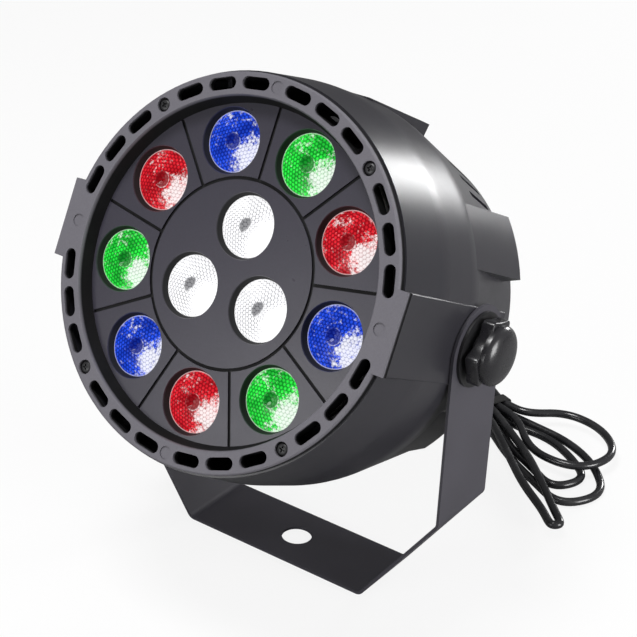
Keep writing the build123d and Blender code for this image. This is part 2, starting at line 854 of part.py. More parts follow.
def knob_outline():
    """Three wings with hollowed ends, joined by deeper hollows."""
    period = 360 / knob_wing_count
    end_radius = knob_radius * math.cos(math.radians(knob_wing_half_angle)) - knob_wing_dip
    arcs = []
    for i in range(knob_wing_count):
        middle = period * i
        first = knob_point(knob_radius, middle - knob_wing_half_angle)
        last = knob_point(knob_radius, middle + knob_wing_half_angle)
        following = knob_point(knob_radius, middle + period - knob_wing_half_angle)
        arcs.append(ThreePointArc(first, knob_point(end_radius, middle), last))
        arcs.append(ThreePointArc(last, knob_point(knob_waist_radius, middle + period / 2), following))
    outline = make_face(arcs)
    return fillet(outline.vertices(), knob_corner_round)


def knob_start():
    return arm_outer + washer_thickness + slide_gap


def clamp_knob(side):
    wings = extrude(knob_outline(), knob_thickness)
    wings = chamfer(wings.faces().sort_by(Axis.Z)[-1].edges(), knob_edge_round)
    top = knob_foot_height + knob_thickness
    body = Pos(0, 0, knob_foot_height) * wings
    body += Cylinder(knob_foot_radius, knob_foot_height, align=bottom)
    cap = Cylinder(knob_cap_radius, knob_cap_height, align=bottom)
    cap = fillet(cap.edges().group_by(Axis.Z)[-1], knob_cap_round)
    body += Pos(0, 0, top) * cap
    body -= Cylinder(stud_radius + running_gap, top, align=bottom)
    turn = Rot(0, 0, 90 + side * knob_wing_phase)
    return Pos(side * knob_start(), 0, pivot_height) * Rot(0, side * 90, 0) * turn * body


def knob_stud(side):
    inner_end = tab_reach - insert_length + overrun
    return pivot_bar(stud_radius, inner_end, knob_start() + knob_foot_height + knob_thickness, side)


def head_place():
    """Where the head's own frame stands in the bracket's frame."""
    return Pos(0, 0, pivot_height) * Rot(90 - head_tilt_angle, 0, 0) * Pos(0, 0, pivot_depth)


def head_parts():
    lenses = [spot * lens() for spot in lens_spots()]
    outer_names = ("blue", "green", "red") * (outer_lens_count // 3)
    parts = {
        "front_ring": front_ring(),
        "ring_screws": ring_screws(),
        "lens_panel": lens_panel(),
        "lens_holders": group(spot * lens_holder() for spot in lens_spots()),
        "led_emitters": group(spot * led() for spot in lens_spots()),
        "led_board": led_board(),
        "heat_sink": heat_sink(),
        "sink_screws": sink_screws(),
        "housing": housing(),
        "pivot_insert_left": pivot_insert(-1),
        "pivot_insert_right": pivot_insert(1),
        "driver_board": driver_board(),
        "driver_posts": driver_posts(),
        "transformer": transformer(),
        "capacitors": capacitors(),
        "power_transistors": transistors(),
        "rear_cover": rear_cover(),
        "fan_frame": fan_frame(),
        "rear_screws": rear_screws(),
        "fan_rotor": fan_rotor(),
        "display_window": display_window(),
        "display_module": display_module(),
        "display_board": display_board(),
        "display_posts": display_posts(),
        "tact_switches": tact_switches(),
        "signal_socket_in": signal_socket_in(),
        "signal_contacts": signal_contacts(),
        "signal_socket_out": signal_socket_out(),
        "microphone": microphone(),
        "cord_gland": cord_gland(),
        "gland_nut": gland_nut(),
    }
    for name, x in zip(button_names, button_places):
        parts["button_" + name] = push_button(x)
    for colour in ("blue", "green", "red"):
        same = [piece for piece, name in zip(lenses, outer_names) if name == colour]
        for i, piece in enumerate(same):
            parts[f"lens_{colour}_{i + 1}"] = piece
    for i, piece in enumerate(lenses[outer_lens_count:]):
        parts[f"lens_white_{i + 1}"] = piece
    return {name: head_place() * shape for name, shape in parts.items()}


def bracket_parts():
    parts = {"bracket": bracket()}
    for name, side in (("left", -1), ("right", 1)):
        parts["friction_washer_" + name] = friction_washer(side)
        parts["clamp_knob_" + name] = clamp_knob(side)
        parts["knob_stud_" + name] = knob_stud(side)
    return parts


def floor_direction(angle):
    return Vector(math.cos(math.radians(angle)), math.sin(math.radians(angle)), 0)


def waist_point(x, y, z):
    """A point given along and across the hank's waist."""
    along = floor_direction(waist_angle)
    across = floor_direction(waist_angle + 90)
    return Vector(*waist_place, z) + along * x + across * y


def layer_height(layer):
    return cord_radius + cord_floor_gap + layer * (2 * cord_radius + layer_gap)


def waist_gate(slot, layer, side, leaving):
    """Where a strand enters or leaves the tie, and its heading there."""
    lift = tie_thickness
    y = waist_step * ((waist_slots - 1) / 2 - slot)
    point = waist_point(side * waist_half_length, y, layer_height(layer) + lift)
    outward = 0 if side > 0 else 180
    heading = waist_angle + outward + side * waist_fan_angles[slot]
    return point, floor_direction(heading if leaving else heading + 180)


def hank_loop(side, turn, layers, angle, reach, near_flank, far_flank, near_share, nose):
    """A loop's flanks and tip, in the order that the cord follows them."""
    start = waist_point(side * waist_half_length, 0, 0)
    along = floor_direction(waist_angle + angle)
    across = floor_direction(waist_angle + angle + 90) * turn
    first, last = (Vector(0, 0, layer_height(layer)) for layer in layers)
    nodes = [(start + along * reach * near_share - across * near_flank + first, along)]
    if nose:
        nodes.append((start + along * (reach - nose) - across * nose + first, along))
    nodes.append((start + along * reach + (first + last) * 0.5, across))
    if nose:
        nodes.append((start + along * (reach - nose) + across * nose + last, along * -1))
    nodes.append((start + along * reach * far_flank_share + across * far_flank + last, along * -1))
    return nodes


def hank_nodes():
    """Points and headings along the hank, from the free cord to the tail."""
    heading = floor_direction(hank_start_angle)
    first = Vector(*hank_start, layer_height(0) + tie_thickness)
    nodes = [(first, heading), (first + heading * hank_straight, heading)]
    ends = [(slot, layer) for slot, layer, *_ in hank_loops] + [(hank_end_slot, hank_end_layer)]
    for i, (slot, layer, *shape) in enumerate(hank_loops):
        side = 1 if i % 2 == 0 else -1
        next_slot, next_layer = ends[i + 1]
        turn = side if slot > next_slot else -side
        nodes.append(waist_gate(slot, layer, -side, False))
        nodes.append(waist_gate(slot, layer, side, True))
        nodes.extend(hank_loop(side, turn, (layer, next_layer), *shape))
    nodes.append(waist_gate(hank_end_slot, hank_end_layer, 1, False))
    nodes.append(waist_gate(hank_end_slot, hank_end_layer, -1, True))
    point, heading = nodes[-1]
    return nodes + [(point + heading * hank_straight, heading)]


def biarc(start, start_heading, end, end_heading):
    """Two arcs that run smoothly from one point and heading to the next."""
    gap = end - start
    lean = 2 * (start_heading.dot(end_heading) - 1)
    pull = gap.dot(start_heading + end_heading)
    if abs(lean) < straight_limit:
        reach = gap.dot(gap) / (2 * pull)
    else:
        reach = (pull - math.sqrt(pull**2 - lean * gap.dot(gap))) / lean
    near = start + start_heading * reach
    far = end - end_heading * reach
    joint = (near + far) * 0.5
    middle_heading = (far - near).normalized()
    return [smooth_edge(start, start_heading, joint), smooth_edge(joint, middle_heading, end)]


def smooth_edge(start, heading, end):
    """An arc that leaves its start on a heading, or a line where it has nothing to turn."""
    if heading.cross((end - start).normalized()).length < straight_limit:
        return Line(start, end)
    return TangentArc(start, end, tangent=heading)


def hank_path():
    nodes = hank_nodes()
    edges = []
    for (start, heading), (end, end_heading) in zip(nodes, nodes[1:]):
        edges += biarc(start, heading, end, end_heading)
    return edges


def least_gap(edges):
    """The smallest clear distance between strands that are not neighbours along the cord."""
    points = []
    walked = 0
    for edge in edges:
        count = max(2, round(edge.length / cord_radius))
        points += [(walked + edge.length * i / count, edge @ (i / count)) for i in range(count)]
        walked += edge.length
    far = 4 * math.pi * cord_radius / 2
    return min(
        (a - b).length - 2 * cord_radius
        for i, (s, a) in enumerate(points)
        for t, b in points[i + 1 :]
        if t - s > far
    )


def tube(edges, start, heading):
    return sweep(Plane(origin=start, z_dir=heading) * Circle(cord_radius), path=Wire(edges))


def cord_hank():
    edges = hank_path()
    start, heading = hank_nodes()[0]
    hank = tube(edges, start, heading)
    length = sum(edge.length for edge in edges)
    print("hank length", round(length, 1), "least gap", round(least_gap(edges), 2))
    print("hank volume over section times length", round(hank.volume / (math.pi * cord_radius**2 * length), 4))
    return hank


def routed_cord(name, points):
    """A cord along straight runs joined by arcs as large as the runs allow."""
    radii = []
    for before, corner, after in zip(points, points[1:], points[2:]):
        inward, outward = corner - before, after - corner
        turn = math.radians(inward.get_angle(outward))
        radii.append(cord_run_share * min(inward.length, outward.length) / math.tan(turn / 2))
    path = FilletPolyline(*points, radius=radii)
    cord = tube(path.edges(), points[0], points[1] - points[0])
    section = math.pi * cord_radius**2
    print(name, "length", round(path.length, 1), "radii", [round(r, 1) for r in radii])
    print(name, "volume over section times length", round(cord.volume / (section * path.length), 4))
    return cord


def power_cord():
    tip = cover_face - gland_hex_height - gland_boot_length
    start = (head_place() * Pos(0, gland_y, tip)).position
    middle = [Vector(*p) for p in cord_route]
    return routed_cord("power_cord", [start, *middle, hank_nodes()[0][0]])


def cord_tail():
    middle = [Vector(*p) for p in tail_route]
    start, heading = hank_nodes()[-1]
    return routed_cord("cord_tail", [start, start + heading * tail_lead, *middle, Vector(*plug_place)])


def cord_tie():
    half = waist_step * (waist_slots - 1) / 2 + cord_radius - tie_bite
    low = layer_height(0) + tie_thickness - cord_radius + tie_bite
    high = layer_height(1) + tie_thickness + cord_radius - tie_bite
    inner = RectangleRounded(2 * half, high - low, tie_corner_round)
    outer = RectangleRounded(
        2 * (half + tie_thickness), high - low + 2 * tie_thickness, tie_corner_round + tie_thickness
    )
    place = Pos(*waist_place, (low + high) / 2) * Rot(0, 0, waist_angle) * Plane.YZ.location
    return extrude(place * (outer - inner), tie_width / 2, both=True)


def plug_axis():
    """The plug's own frame: z runs from the cord to the pins."""
    return Pos(*plug_place) * Rot(0, 0, plug_angle) * Rot(0, 90, 0) * Rot(0, 0, 90)


def plug_body():
    collar = Cone(plug_collar_radius * plug_collar_share, plug_collar_radius, plug_collar_length, align=bottom)
    outline = RectangleRounded(plug_width, plug_thickness, plug_corner_round)
    body = Pos(0, 0, plug_collar_length) * extrude(outline, plug_length)
    return plug_axis() * (collar + body)


def plug_pins():
    start = plug_collar_length + plug_length
    pin = Cylinder(plug_pin_radius, plug_pin_length, align=bottom)
    offsets = (-plug_pin_spacing / 2, plug_pin_spacing / 2)
    return plug_axis() * group(Pos(x, 0, start) * pin for x in offsets)


def cord_parts():
    return {
        "power_cord": power_cord(),
        "cord_hank": cord_hank(),
        "cord_tail": cord_tail(),
        "cord_tie": cord_tie(),
        "plug_body": plug_body(),
        "plug_pins": plug_pins(),
    }


os.makedirs("parts", exist_ok=True)
for node, shape in {**head_parts(), **bracket_parts(), **cord_parts()}.items():
    export_step(shape, os.path.join("parts", node + ".step"))
    print(node, round(shape.volume, 1))
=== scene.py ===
"""Looks of the par light, in metres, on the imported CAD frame."""

import json
import logging
import math
import random
from dataclasses import dataclass, field
from enum import Enum
from typing import Sequence

import bmesh
import bpy
from mathutils import Matrix, Vector


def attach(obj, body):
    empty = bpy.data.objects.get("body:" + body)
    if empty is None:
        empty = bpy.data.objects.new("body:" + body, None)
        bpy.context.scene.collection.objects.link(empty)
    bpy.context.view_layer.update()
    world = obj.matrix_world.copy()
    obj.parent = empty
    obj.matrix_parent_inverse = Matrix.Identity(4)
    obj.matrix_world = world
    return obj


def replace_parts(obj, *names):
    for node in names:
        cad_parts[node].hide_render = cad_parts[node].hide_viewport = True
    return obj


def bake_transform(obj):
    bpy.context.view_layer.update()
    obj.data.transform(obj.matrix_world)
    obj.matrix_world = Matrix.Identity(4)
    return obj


MM = 0.001
SAME_PLACE = 1e-7
SAME_HEADING = 1e-6
Colour = tuple[float, float, float]
Point = tuple[float, float, float]
Flat = tuple[float, float]
Node = tuple[Vector, Vector]

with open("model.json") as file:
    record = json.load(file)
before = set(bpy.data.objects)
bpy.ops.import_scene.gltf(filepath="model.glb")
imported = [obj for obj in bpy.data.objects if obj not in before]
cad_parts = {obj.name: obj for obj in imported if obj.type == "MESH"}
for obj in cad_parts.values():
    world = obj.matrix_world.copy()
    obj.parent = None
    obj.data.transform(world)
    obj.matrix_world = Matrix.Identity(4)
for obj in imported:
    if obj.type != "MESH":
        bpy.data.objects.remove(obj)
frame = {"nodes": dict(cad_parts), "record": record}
LOG = logging.getLogger("par_light")


class Body(str, Enum):
    """CAD bodies that the new pieces ride on."""

    BASE = "base"
    HEAD = "head"
    KNOB_LEFT = "knob_left"
    KNOB_RIGHT = "knob_right"


class LensColour(str, Enum):
    """Colours of the lenses."""

    BLUE = "blue"
    GREEN = "green"
    RED = "red"
    WHITE = "white"


# ---------------------------------------------------------------- frames


@dataclass(frozen=True)
class HeadFrame:
    """The head's own frame: x across the face, y up the face, z out of it, z 0 at the ring's face.

    Attributes:
        tilt: the rest tilt in degrees.
        pivot_height: height of the tilt axis.
        pivot_depth: distance of the tilt axis behind the ring's face.
        cover_face: height of the rear cover's outer face, in the head's frame.
    """

    tilt: float = 26.0
    pivot_height: float = 119.5 * MM
    pivot_depth: float = 63.8 * MM
    cover_face: float = -110.0 * MM

    @property
    def matrix(self) -> Matrix:
        """Matrix from the head's frame to the part's.

        Returns:
            The matrix.
        """
        lift = Matrix.Translation((0.0, 0.0, self.pivot_height))
        turn = Matrix.Rotation(math.radians(90.0 - self.tilt), 4, "X")
        return lift @ turn @ Matrix.Translation((0.0, 0.0, self.pivot_depth))


HEAD = HeadFrame()


def polar(radius: float, degrees: float) -> Vector:
    """The flat point at a radius and an angle."""
    return Vector((radius * math.cos(math.radians(degrees)), radius * math.sin(math.radians(degrees))))


# ---------------------------------------------------------------- shader sheets


class Sheet:
    """A thin hand over one node tree, material or group."""

    def __init__(self, tree: bpy.types.NodeTree) -> None:
        """Starts on the node tree that it adds to."""
        self.tree = tree

    def node(self, kind: str, **settings: object) -> bpy.types.Node:
        """Adds a node.

        Args:
            kind: the node's type name, without ShaderNode in front.
            settings: attributes of the node.

        Returns:
            The node.
        """
        made = self.tree.nodes.new("ShaderNode" + kind)
        for name, value in settings.items():
            setattr(made, name, value)
        return made

    def join(self, source: bpy.types.NodeSocket, target: bpy.types.NodeSocket) -> None:
        """Links an output to an input."""
        self.tree.links.new(source, target)

    def feed(self, target: bpy.types.NodeSocket, value: object) -> None:
        """Sets or links an input.

        Args:
            target: the input.
            value: a socket, a number or a colour.
        """
        if isinstance(value, bpy.types.NodeSocket):
            self.join(value, target)
        elif isinstance(value, tuple) and len(value) == 3 and target.type == "RGBA":
            target.default_value = (*value, 1.0)
        else:
            target.default_value = value

    def maths(self, operation: str, a: object, b: object = 0.0, clamp: bool = False) -> bpy.types.NodeSocket:
        """Adds a maths node.

        Args:
            operation: its operation.
            a: first value.
            b: second value.
            clamp: True to keep the result from 0 to 1.

        Returns:
            Its output.
        """
        made = self.node("Math", operation=operation, use_clamp=clamp)
        self.feed(made.inputs[0], a)
        self.feed(made.inputs[1], b)
        return made.outputs[0]

    def noise(self, vector: object, scale: object, detail: float, roughness: float) -> bpy.types.NodeSocket:
        """Adds a noise texture.

        Args:
            vector: its coordinates.
            scale: its scale, per metre.
            detail: its detail.
            roughness: its roughness.

        Returns:
            Its factor output.
        """
        made = self.node("TexNoise")
        for label, value in (("Vector", vector), ("Scale", scale), ("Detail", detail), ("Roughness", roughness)):
            self.feed(made.inputs[label], value)
        return made.outputs["Fac"]

    def remap(
        self, value: object, low: object, high: object, to_low: object = 0.0, to_high: object = 1.0
    ) -> bpy.types.NodeSocket:
        """Adds a clamped map range.

        Args:
            value: the value.
            low: lowest value in.
            high: highest value in.
            to_low: value out at the low end.
            to_high: value out at the high end.

        Returns:
            The mapped value.
        """
        made = self.node("MapRange", clamp=True)
        for socket, given in zip(made.inputs, (value, low, high, to_low, to_high)):
            self.feed(socket, given)
        return made.outputs[0]

    def blend(self, factor: object, a: object, b: object, mode: str = "MIX") -> bpy.types.NodeSocket:
        """Mixes two colours.

        Args:
            factor: share of b.
            a: first colour.
            b: second colour.
            mode: blend mode.

        Returns:
            The mixed colour.
        """
        made = self.node("Mix", data_type="RGBA", blend_type=mode)
        # inputs 6 and 7 and output 2 are the node's colours
        for place, value in ((0, factor), (6, a), (7, b)):
            self.feed(made.inputs[place], value)
        return made.outputs[2]

    def bump(self, height: object, distance: float, strength: object) -> bpy.types.NodeSocket:
        """Adds a bump node.

        Args:
            height: the relief.
            distance: its depth in metres.
            strength: how much of it is seen.

        Returns:
            The normal output.
        """
        made = self.node("Bump")
        for label, value in (("Distance", distance), ("Strength", strength), ("Height", height)):
            self.feed(made.inputs[label], value)
        return made.outputs[0]

    def place(self) -> bpy.types.NodeSocket:
        """The object coordinates."""
        return self.node("TexCoord").outputs["Object"]


SURFACE_OUTPUTS = (("Colour", "Color"), ("Roughness", "Float"), ("Normal", "Vector"))


class Effect:
    """A shared shader node group with named inputs, made once and used by many finishes."""

    name: str = ""
    inputs: Sequence[tuple[str, str, object]] = ()
    outputs: Sequence[tuple[str, str]] = SURFACE_OUTPUTS

    @classmethod
    def tree(cls) -> bpy.types.NodeTree:
        """Builds the node group at the first call.

        Returns:
            The node group.
        """
        found = bpy.data.node_groups.get(cls.name)
        if found:
            return found
        group = bpy.data.node_groups.new(cls.name, "ShaderNodeTree")
        for label, kind, value in cls.inputs:
            socket = group.interface.new_socket(label, in_out="INPUT", socket_type="NodeSocket" + kind)
            socket.default_value = (*value, 1.0) if kind == "Color" else value
        for label, kind in cls.outputs:
            group.interface.new_socket(label, in_out="OUTPUT", socket_type="NodeSocket" + kind)
        sheet = Sheet(group)
        source = group.nodes.new("NodeGroupInput")
        sink = group.nodes.new("NodeGroupOutput")
        for label, value in cls.build(sheet, source.outputs).items():
            sheet.feed(sink.inputs[label], value)
        return group

    @classmethod
    def build(cls, sheet: Sheet, given: bpy.types.NodeOutputs) -> dict[str, bpy.types.NodeSocket]:
        """Builds the group's inside and returns output label to socket."""
        raise NotImplementedError

    @classmethod
    def use(cls, sheet: Sheet, **values: object) -> bpy.types.NodeOutputs:
        """Puts the group in a material.

        Args:
            sheet: the material's sheet.
            values: input label, with _ for a space, to value.

        Returns:
            The group node's outputs.
        """
        made = sheet.node("Group")
        made.node_tree = cls.tree()
        for label, value in values.items():
            sheet.feed(made.inputs[label.replace("_", " ")], value)
        return made.outputs


class MouldGrain(Effect):
    """Spark-eroded mould texture: fine grain, faint flow marks and rubbed patches."""

    name = "Mould Grain"
    inputs = (
        ("Colour", "Color", (0.05, 0.05, 0.05)),
        ("Roughness", "Float", 0.5),
        ("Grain Scale", "Float", 2600.0),
        ("Grain Depth", "Float", 0.1),
        ("Rub", "Float", 0.15),
    )
    middle_share = 0.37
    flow_scale = 34.0
    flow_range = (0.42, 0.72)
    rub_colour = (0.16, 0.16, 0.165)
    rub_shine = 0.05
    tone_map = (0.3, 0.7, 0.94, 1.06)
    shine_map = (0.15, 0.85, -0.012, 0.012)
    relief = 0.06 * MM

    @classmethod
    def build(cls, sheet: Sheet, given: bpy.types.NodeOutputs) -> dict[str, bpy.types.NodeSocket]:
        """Builds the grain, the flow marks and the rubbed patches.

        Args:
            sheet: the group's sheet.
            given: the group's inputs.

        Returns:
            Output label to socket.
        """
        where = sheet.place()
        middle_scale = sheet.maths("MULTIPLY", given["Grain Scale"], cls.middle_share)
        fine = sheet.noise(where, given["Grain Scale"], detail=2.0, roughness=0.6)
        middle = sheet.noise(where, middle_scale, detail=2.0, roughness=0.5)
        flow = sheet.noise(where, cls.flow_scale, detail=4.0, roughness=0.62)
        rub = sheet.remap(flow, *cls.flow_range)
        tint = sheet.blend(sheet.maths("MULTIPLY", rub, given["Rub"]), given["Colour"], cls.rub_colour)
        shade = sheet.blend(1.0, tint, sheet.remap(fine, *cls.tone_map), "MULTIPLY")
        rough = sheet.maths("ADD", given["Roughness"], sheet.remap(middle, *cls.shine_map))
        rough = sheet.maths("SUBTRACT", rough, sheet.maths("MULTIPLY", rub, cls.rub_shine), clamp=True)
        normal = sheet.bump(sheet.maths("ADD", fine, middle), cls.relief, given["Grain Depth"])
        return {"Colour": shade, "Roughness": rough, "Normal": normal}


class PaintedRecessShade(Effect):
    """Painted shade in hollows: everything deeper in the head than a face is darkened towards black and dulled."""

    name = "Recess Shade"
    inputs = (
        ("Colour", "Color", (0.05, 0.05, 0.05)),
        ("Roughness", "Float", 0.5),
        ("Top", "Float", 0.0),
        ("Floor", "Float", -0.001),
        ("Dark", "Float", 0.8),
    )
    outputs = SURFACE_OUTPUTS[:2]
    dulling = 0.5

    @classmethod
    def build(cls, sheet: Sheet, given: bpy.types.NodeOutputs) -> dict[str, bpy.types.NodeSocket]:
        """Builds the painted shade of what lies deep in the head.

        Args:
            sheet: the group's sheet.
            given: the group's inputs.

        Returns:
            Output label to socket.
        """
        outward = HEAD.matrix.to_3x3() @ Vector((0.0, 0.0, 1.0))
        along = sheet.node("VectorMath", operation="DOT_PRODUCT")
        sheet.feed(along.inputs[0], sheet.place())
        sheet.feed(along.inputs[1], outward)
        depth = sheet.maths("SUBTRACT", along.outputs["Value"], outward.dot(HEAD.matrix.translation))
        hollow = sheet.remap(depth, given["Floor"], given["Top"], 1.0, 0.0)
        hollow = sheet.maths("MULTIPLY", hollow, given["Dark"])
        # painted shade: the colour goes towards black with depth in the head
        shade = sheet.blend(hollow, given["Colour"], (0.0, 0.0, 0.0))
        dull = sheet.maths("MULTIPLY", hollow, cls.dulling)
        return {"Colour": shade, "Roughness": sheet.maths("ADD", given["Roughness"], dull, clamp=True)}


class PowderCoat(Effect):
    """Powder paint: orange peel with a painted sheen that tints its crests paler, tiny pits and faint clouds."""

    name = "Powder Coat"
    inputs = (
        ("Colour", "Color", (0.06, 0.06, 0.065)),
        ("Roughness", "Float", 0.45),
        ("Peel Scale", "Float", 1500.0),
        ("Peel Depth", "Float", 0.2),
    )
    cloud_scale = 28.0
    cloud_map = (0.3, 0.7, 0.88, 1.12)
    shine_map = (0.3, 0.7, -0.04, 0.05)
    pit_scale = 520.0
    pit_range = (0.05, 0.16)
    pit_share = 0.4
    painted_crest_sheen_map = (0.62, 0.8, 0.0, 0.12)
    painted_crest_sheen_colour = (0.22, 0.22, 0.23)
    relief = 0.08 * MM

    @classmethod
    def build(cls, sheet: Sheet, given: bpy.types.NodeOutputs) -> dict[str, bpy.types.NodeSocket]:
        """Builds the peel, the painted sheen on its crests, the pits and the clouds.

        Args:
            sheet: the group's sheet.
            given: the group's inputs.

        Returns:
            Output label to socket.
        """
        where = sheet.place()
        peel = sheet.noise(where, given["Peel Scale"], detail=2.0, roughness=0.45)
        cloud = sheet.noise(where, cls.cloud_scale, detail=3.0, roughness=0.55)
        pits = sheet.node("TexVoronoi", feature="F1")
        sheet.feed(pits.inputs["Vector"], where)
        sheet.feed(pits.inputs["Scale"], cls.pit_scale)
        pit = sheet.maths("MULTIPLY", sheet.remap(pits.outputs["Distance"], *cls.pit_range), cls.pit_share)
        shade = sheet.blend(1.0, given["Colour"], sheet.remap(cloud, *cls.cloud_map), "MULTIPLY")
        # painted sheen: the peel's crests are tinted paler
        shade = sheet.blend(sheet.remap(peel, *cls.painted_crest_sheen_map), shade, cls.painted_crest_sheen_colour)
        rough = sheet.maths("ADD", given["Roughness"], sheet.remap(cloud, *cls.shine_map), clamp=True)
        normal = sheet.bump(sheet.maths("ADD", peel, pit), cls.relief, given["Peel Depth"])
        return {"Colour": shade, "Roughness": rough, "Normal": normal}


class Sheath(Effect):
    """Extruded cord sheath: fine grain, dust and handling smears."""

    name = "Cord Sheath"
    inputs = (("Colour", "Color", (0.02, 0.02, 0.022)), ("Roughness", "Float", 0.24), ("Dust", "Float", 0.15))
    smear_scale = 70.0
    fine_scale = 1900.0
    dust_range = (0.5, 0.75)
    dust_colour = (0.2, 0.2, 0.2)
    shine_map = (0.35, 0.7, -0.04, 0.14)
    relief = 0.04 * MM
    strength = 0.12

    @classmethod
    def build(cls, sheet: Sheet, given: bpy.types.NodeOutputs) -> dict[str, bpy.types.NodeSocket]:
        """Builds the grain, the dust and the smears.

        Args:
            sheet: the group's sheet.
            given: the group's inputs.

        Returns:
            Output label to socket.
        """
        where = sheet.place()
        smear = sheet.noise(where, cls.smear_scale, detail=4.0, roughness=0.6)
        fine = sheet.noise(where, cls.fine_scale, detail=2.0, roughness=0.5)
        dust = sheet.maths("MULTIPLY", sheet.remap(smear, *cls.dust_range), given["Dust"])
        shade = sheet.blend(dust, given["Colour"], cls.dust_colour)
        rough = sheet.maths("ADD", given["Roughness"], sheet.remap(smear, *cls.shine_map), clamp=True)
        normal = sheet.bump(sheet.maths("ADD", fine, smear), cls.relief, cls.strength)
        return {"Colour": shade, "Roughness": rough, "Normal": normal}


class Machined(Effect):
    """Bare or plated metal: a fine machined grain and a soft tarnish."""

    name = "Machined Metal"
    inputs = (("Colour", "Color", (0.6, 0.6, 0.6)), ("Roughness", "Float", 0.3), ("Tarnish", "Float", 0.2))
    cloud_scale = 120.0
    line_scale = 2400.0
    spot_range = (0.45, 0.7)
    spot_share = 0.6
    spot_colour = (0.05, 0.045, 0.04)
    shine_map = (0.35, 0.7, -0.05, 0.15)
    relief = 0.03 * MM
    strength = 0.15

    @classmethod
    def build(cls, sheet: Sheet, given: bpy.types.NodeOutputs) -> dict[str, bpy.types.NodeSocket]:
        """Builds the grain and the tarnish.

        Args:
            sheet: the group's sheet.
            given: the group's inputs.

        Returns:
            Output label to socket.
        """
        where = sheet.place()
        cloud = sheet.noise(where, cls.cloud_scale, detail=4.0, roughness=0.6)
        lines = sheet.noise(where, cls.line_scale, detail=2.0, roughness=0.5)
        spots = sheet.maths("MULTIPLY", sheet.remap(cloud, *cls.spot_range), given["Tarnish"])
        tarnished = sheet.blend(cls.spot_share, given["Colour"], cls.spot_colour)
        shade = sheet.blend(spots, given["Colour"], tarnished)
        rough = sheet.maths("ADD", given["Roughness"], sheet.remap(cloud, *cls.shine_map), clamp=True)
        return {"Colour": shade, "Roughness": rough, "Normal": sheet.bump(lines, cls.relief, cls.strength)}


class PebbleGlow(Effect):
    """A lit collimator lens: pebbles with dark seams, painted white glints that close up into a painted highlight
    flare on one side, a painted highlight on the rim, and a dark central dimple whose flare side gets painted light.
    """

    name = "Pebble Glow"
    inputs = (
        ("Colour", "Color", (0.1, 0.2, 1.0)),
        ("Deep Colour", "Color", (0.0, 0.02, 0.2)),
        ("Pale", "Float", 0.3),
        ("Flare", "Float", 0.3),
        ("Seam Width", "Float", 0.5),
        ("Cloud", "Float", 0.55),
        ("Dimple Light", "Float", 0.0),
    )
    outputs = (("Colour", "Color"), ("Glow", "Color"), ("Roughness", "Float"))
    painted_glint_scale = 430.0
    cloud_scale = 170.0
    seam_by_flare = (0.0, 0.5, 1.0, 0.55)
    seam_core_share = 0.2
    seam_light = 0.22
    dimple_rim = (0.25, 0.29)
    dimple_light = 0.24
    cloud_range = (0.34, 0.6)
    painted_dimple_light_range = (0.42, 0.62)
    sparkle_range = (0.6, 0.72)
    sparkle_in_seam = 0.55
    sparkle_in_dimple = 0.06
    painted_rim_highlight_map = (0.955, 0.985, 0.0, 0.4)
    body_dark = 0.85
    shine_map = (0.0, 1.0, 0.16, 0.08)

    @classmethod
    def build(cls, sheet: Sheet, given: bpy.types.NodeOutputs) -> dict[str, bpy.types.NodeSocket]:
        """Builds the pebbles' light, their seams, the painted glints and highlight flare, the painted rim highlight
        and the dimple.

        Args:
            sheet: the group's sheet.
            given: the group's inputs.

        Returns:
            Output label to socket.
        """
        cell, away, flare = (
            sheet.node("Attribute", attribute_name=name).outputs["Fac"] for name in ("pebble", "reach", "flare")
        )
        where = sheet.place()
        painted_glint = sheet.noise(where, cls.painted_glint_scale, detail=4.0, roughness=0.85)
        cloud = sheet.noise(where, cls.cloud_scale, detail=2.0, roughness=0.5)
        wide = sheet.maths("MULTIPLY", given["Seam Width"], sheet.remap(flare, *cls.seam_by_flare))
        seam = sheet.remap(cell, sheet.maths("MULTIPLY", wide, cls.seam_core_share), wide)
        middle = sheet.remap(away, *cls.dimple_rim)
        patch = sheet.remap(cloud, *cls.cloud_range, sheet.maths("SUBTRACT", 1.0, given["Cloud"]), 1.0)
        light = sheet.maths("MULTIPLY", sheet.remap(seam, 0.0, 1.0, cls.seam_light, 1.0), patch)
        # painted light: the dimple's flare side is lit up by Dimple Light
        painted_dimple_light = sheet.maths("MULTIPLY", sheet.remap(flare, *cls.painted_dimple_light_range), given["Dimple Light"])
        hollow = sheet.maths("ADD", painted_dimple_light, cls.dimple_light)
        light = sheet.maths("MULTIPLY", light, sheet.remap(middle, 0.0, 1.0, hollow, 1.0))
        base = sheet.blend(light, given["Deep Colour"], given["Colour"])
        # painted glints: sparkles from noise, closing up towards the flare side, made white in the glow
        spread = sheet.maths("ADD", painted_glint, sheet.maths("MULTIPLY", flare, given["Flare"]))
        sparkle = sheet.remap(spread, *cls.sparkle_range)
        sparkle = sheet.maths("MULTIPLY", sparkle, sheet.remap(seam, 0.0, 1.0, cls.sparkle_in_seam, 1.0))
        sparkle = sheet.maths("MULTIPLY", sparkle, sheet.remap(middle, 0.0, 1.0, cls.sparkle_in_dimple, 1.0))
        sparkle = sheet.maths("MULTIPLY", sparkle, given["Pale"])
        # painted rim highlight: the lens's outer edge is whitened in the glow
        white = sheet.maths("MAXIMUM", sparkle, sheet.remap(away, *cls.painted_rim_highlight_map))
        glow = sheet.blend(white, base, (1.0, 1.0, 1.0))
        dark = sheet.blend(cls.body_dark, base, (0.0, 0.0, 0.0))
        return {"Colour": dark, "Glow": glow, "Roughness": sheet.remap(cell, *cls.shine_map)}


# ---------------------------------------------------------------- finishes


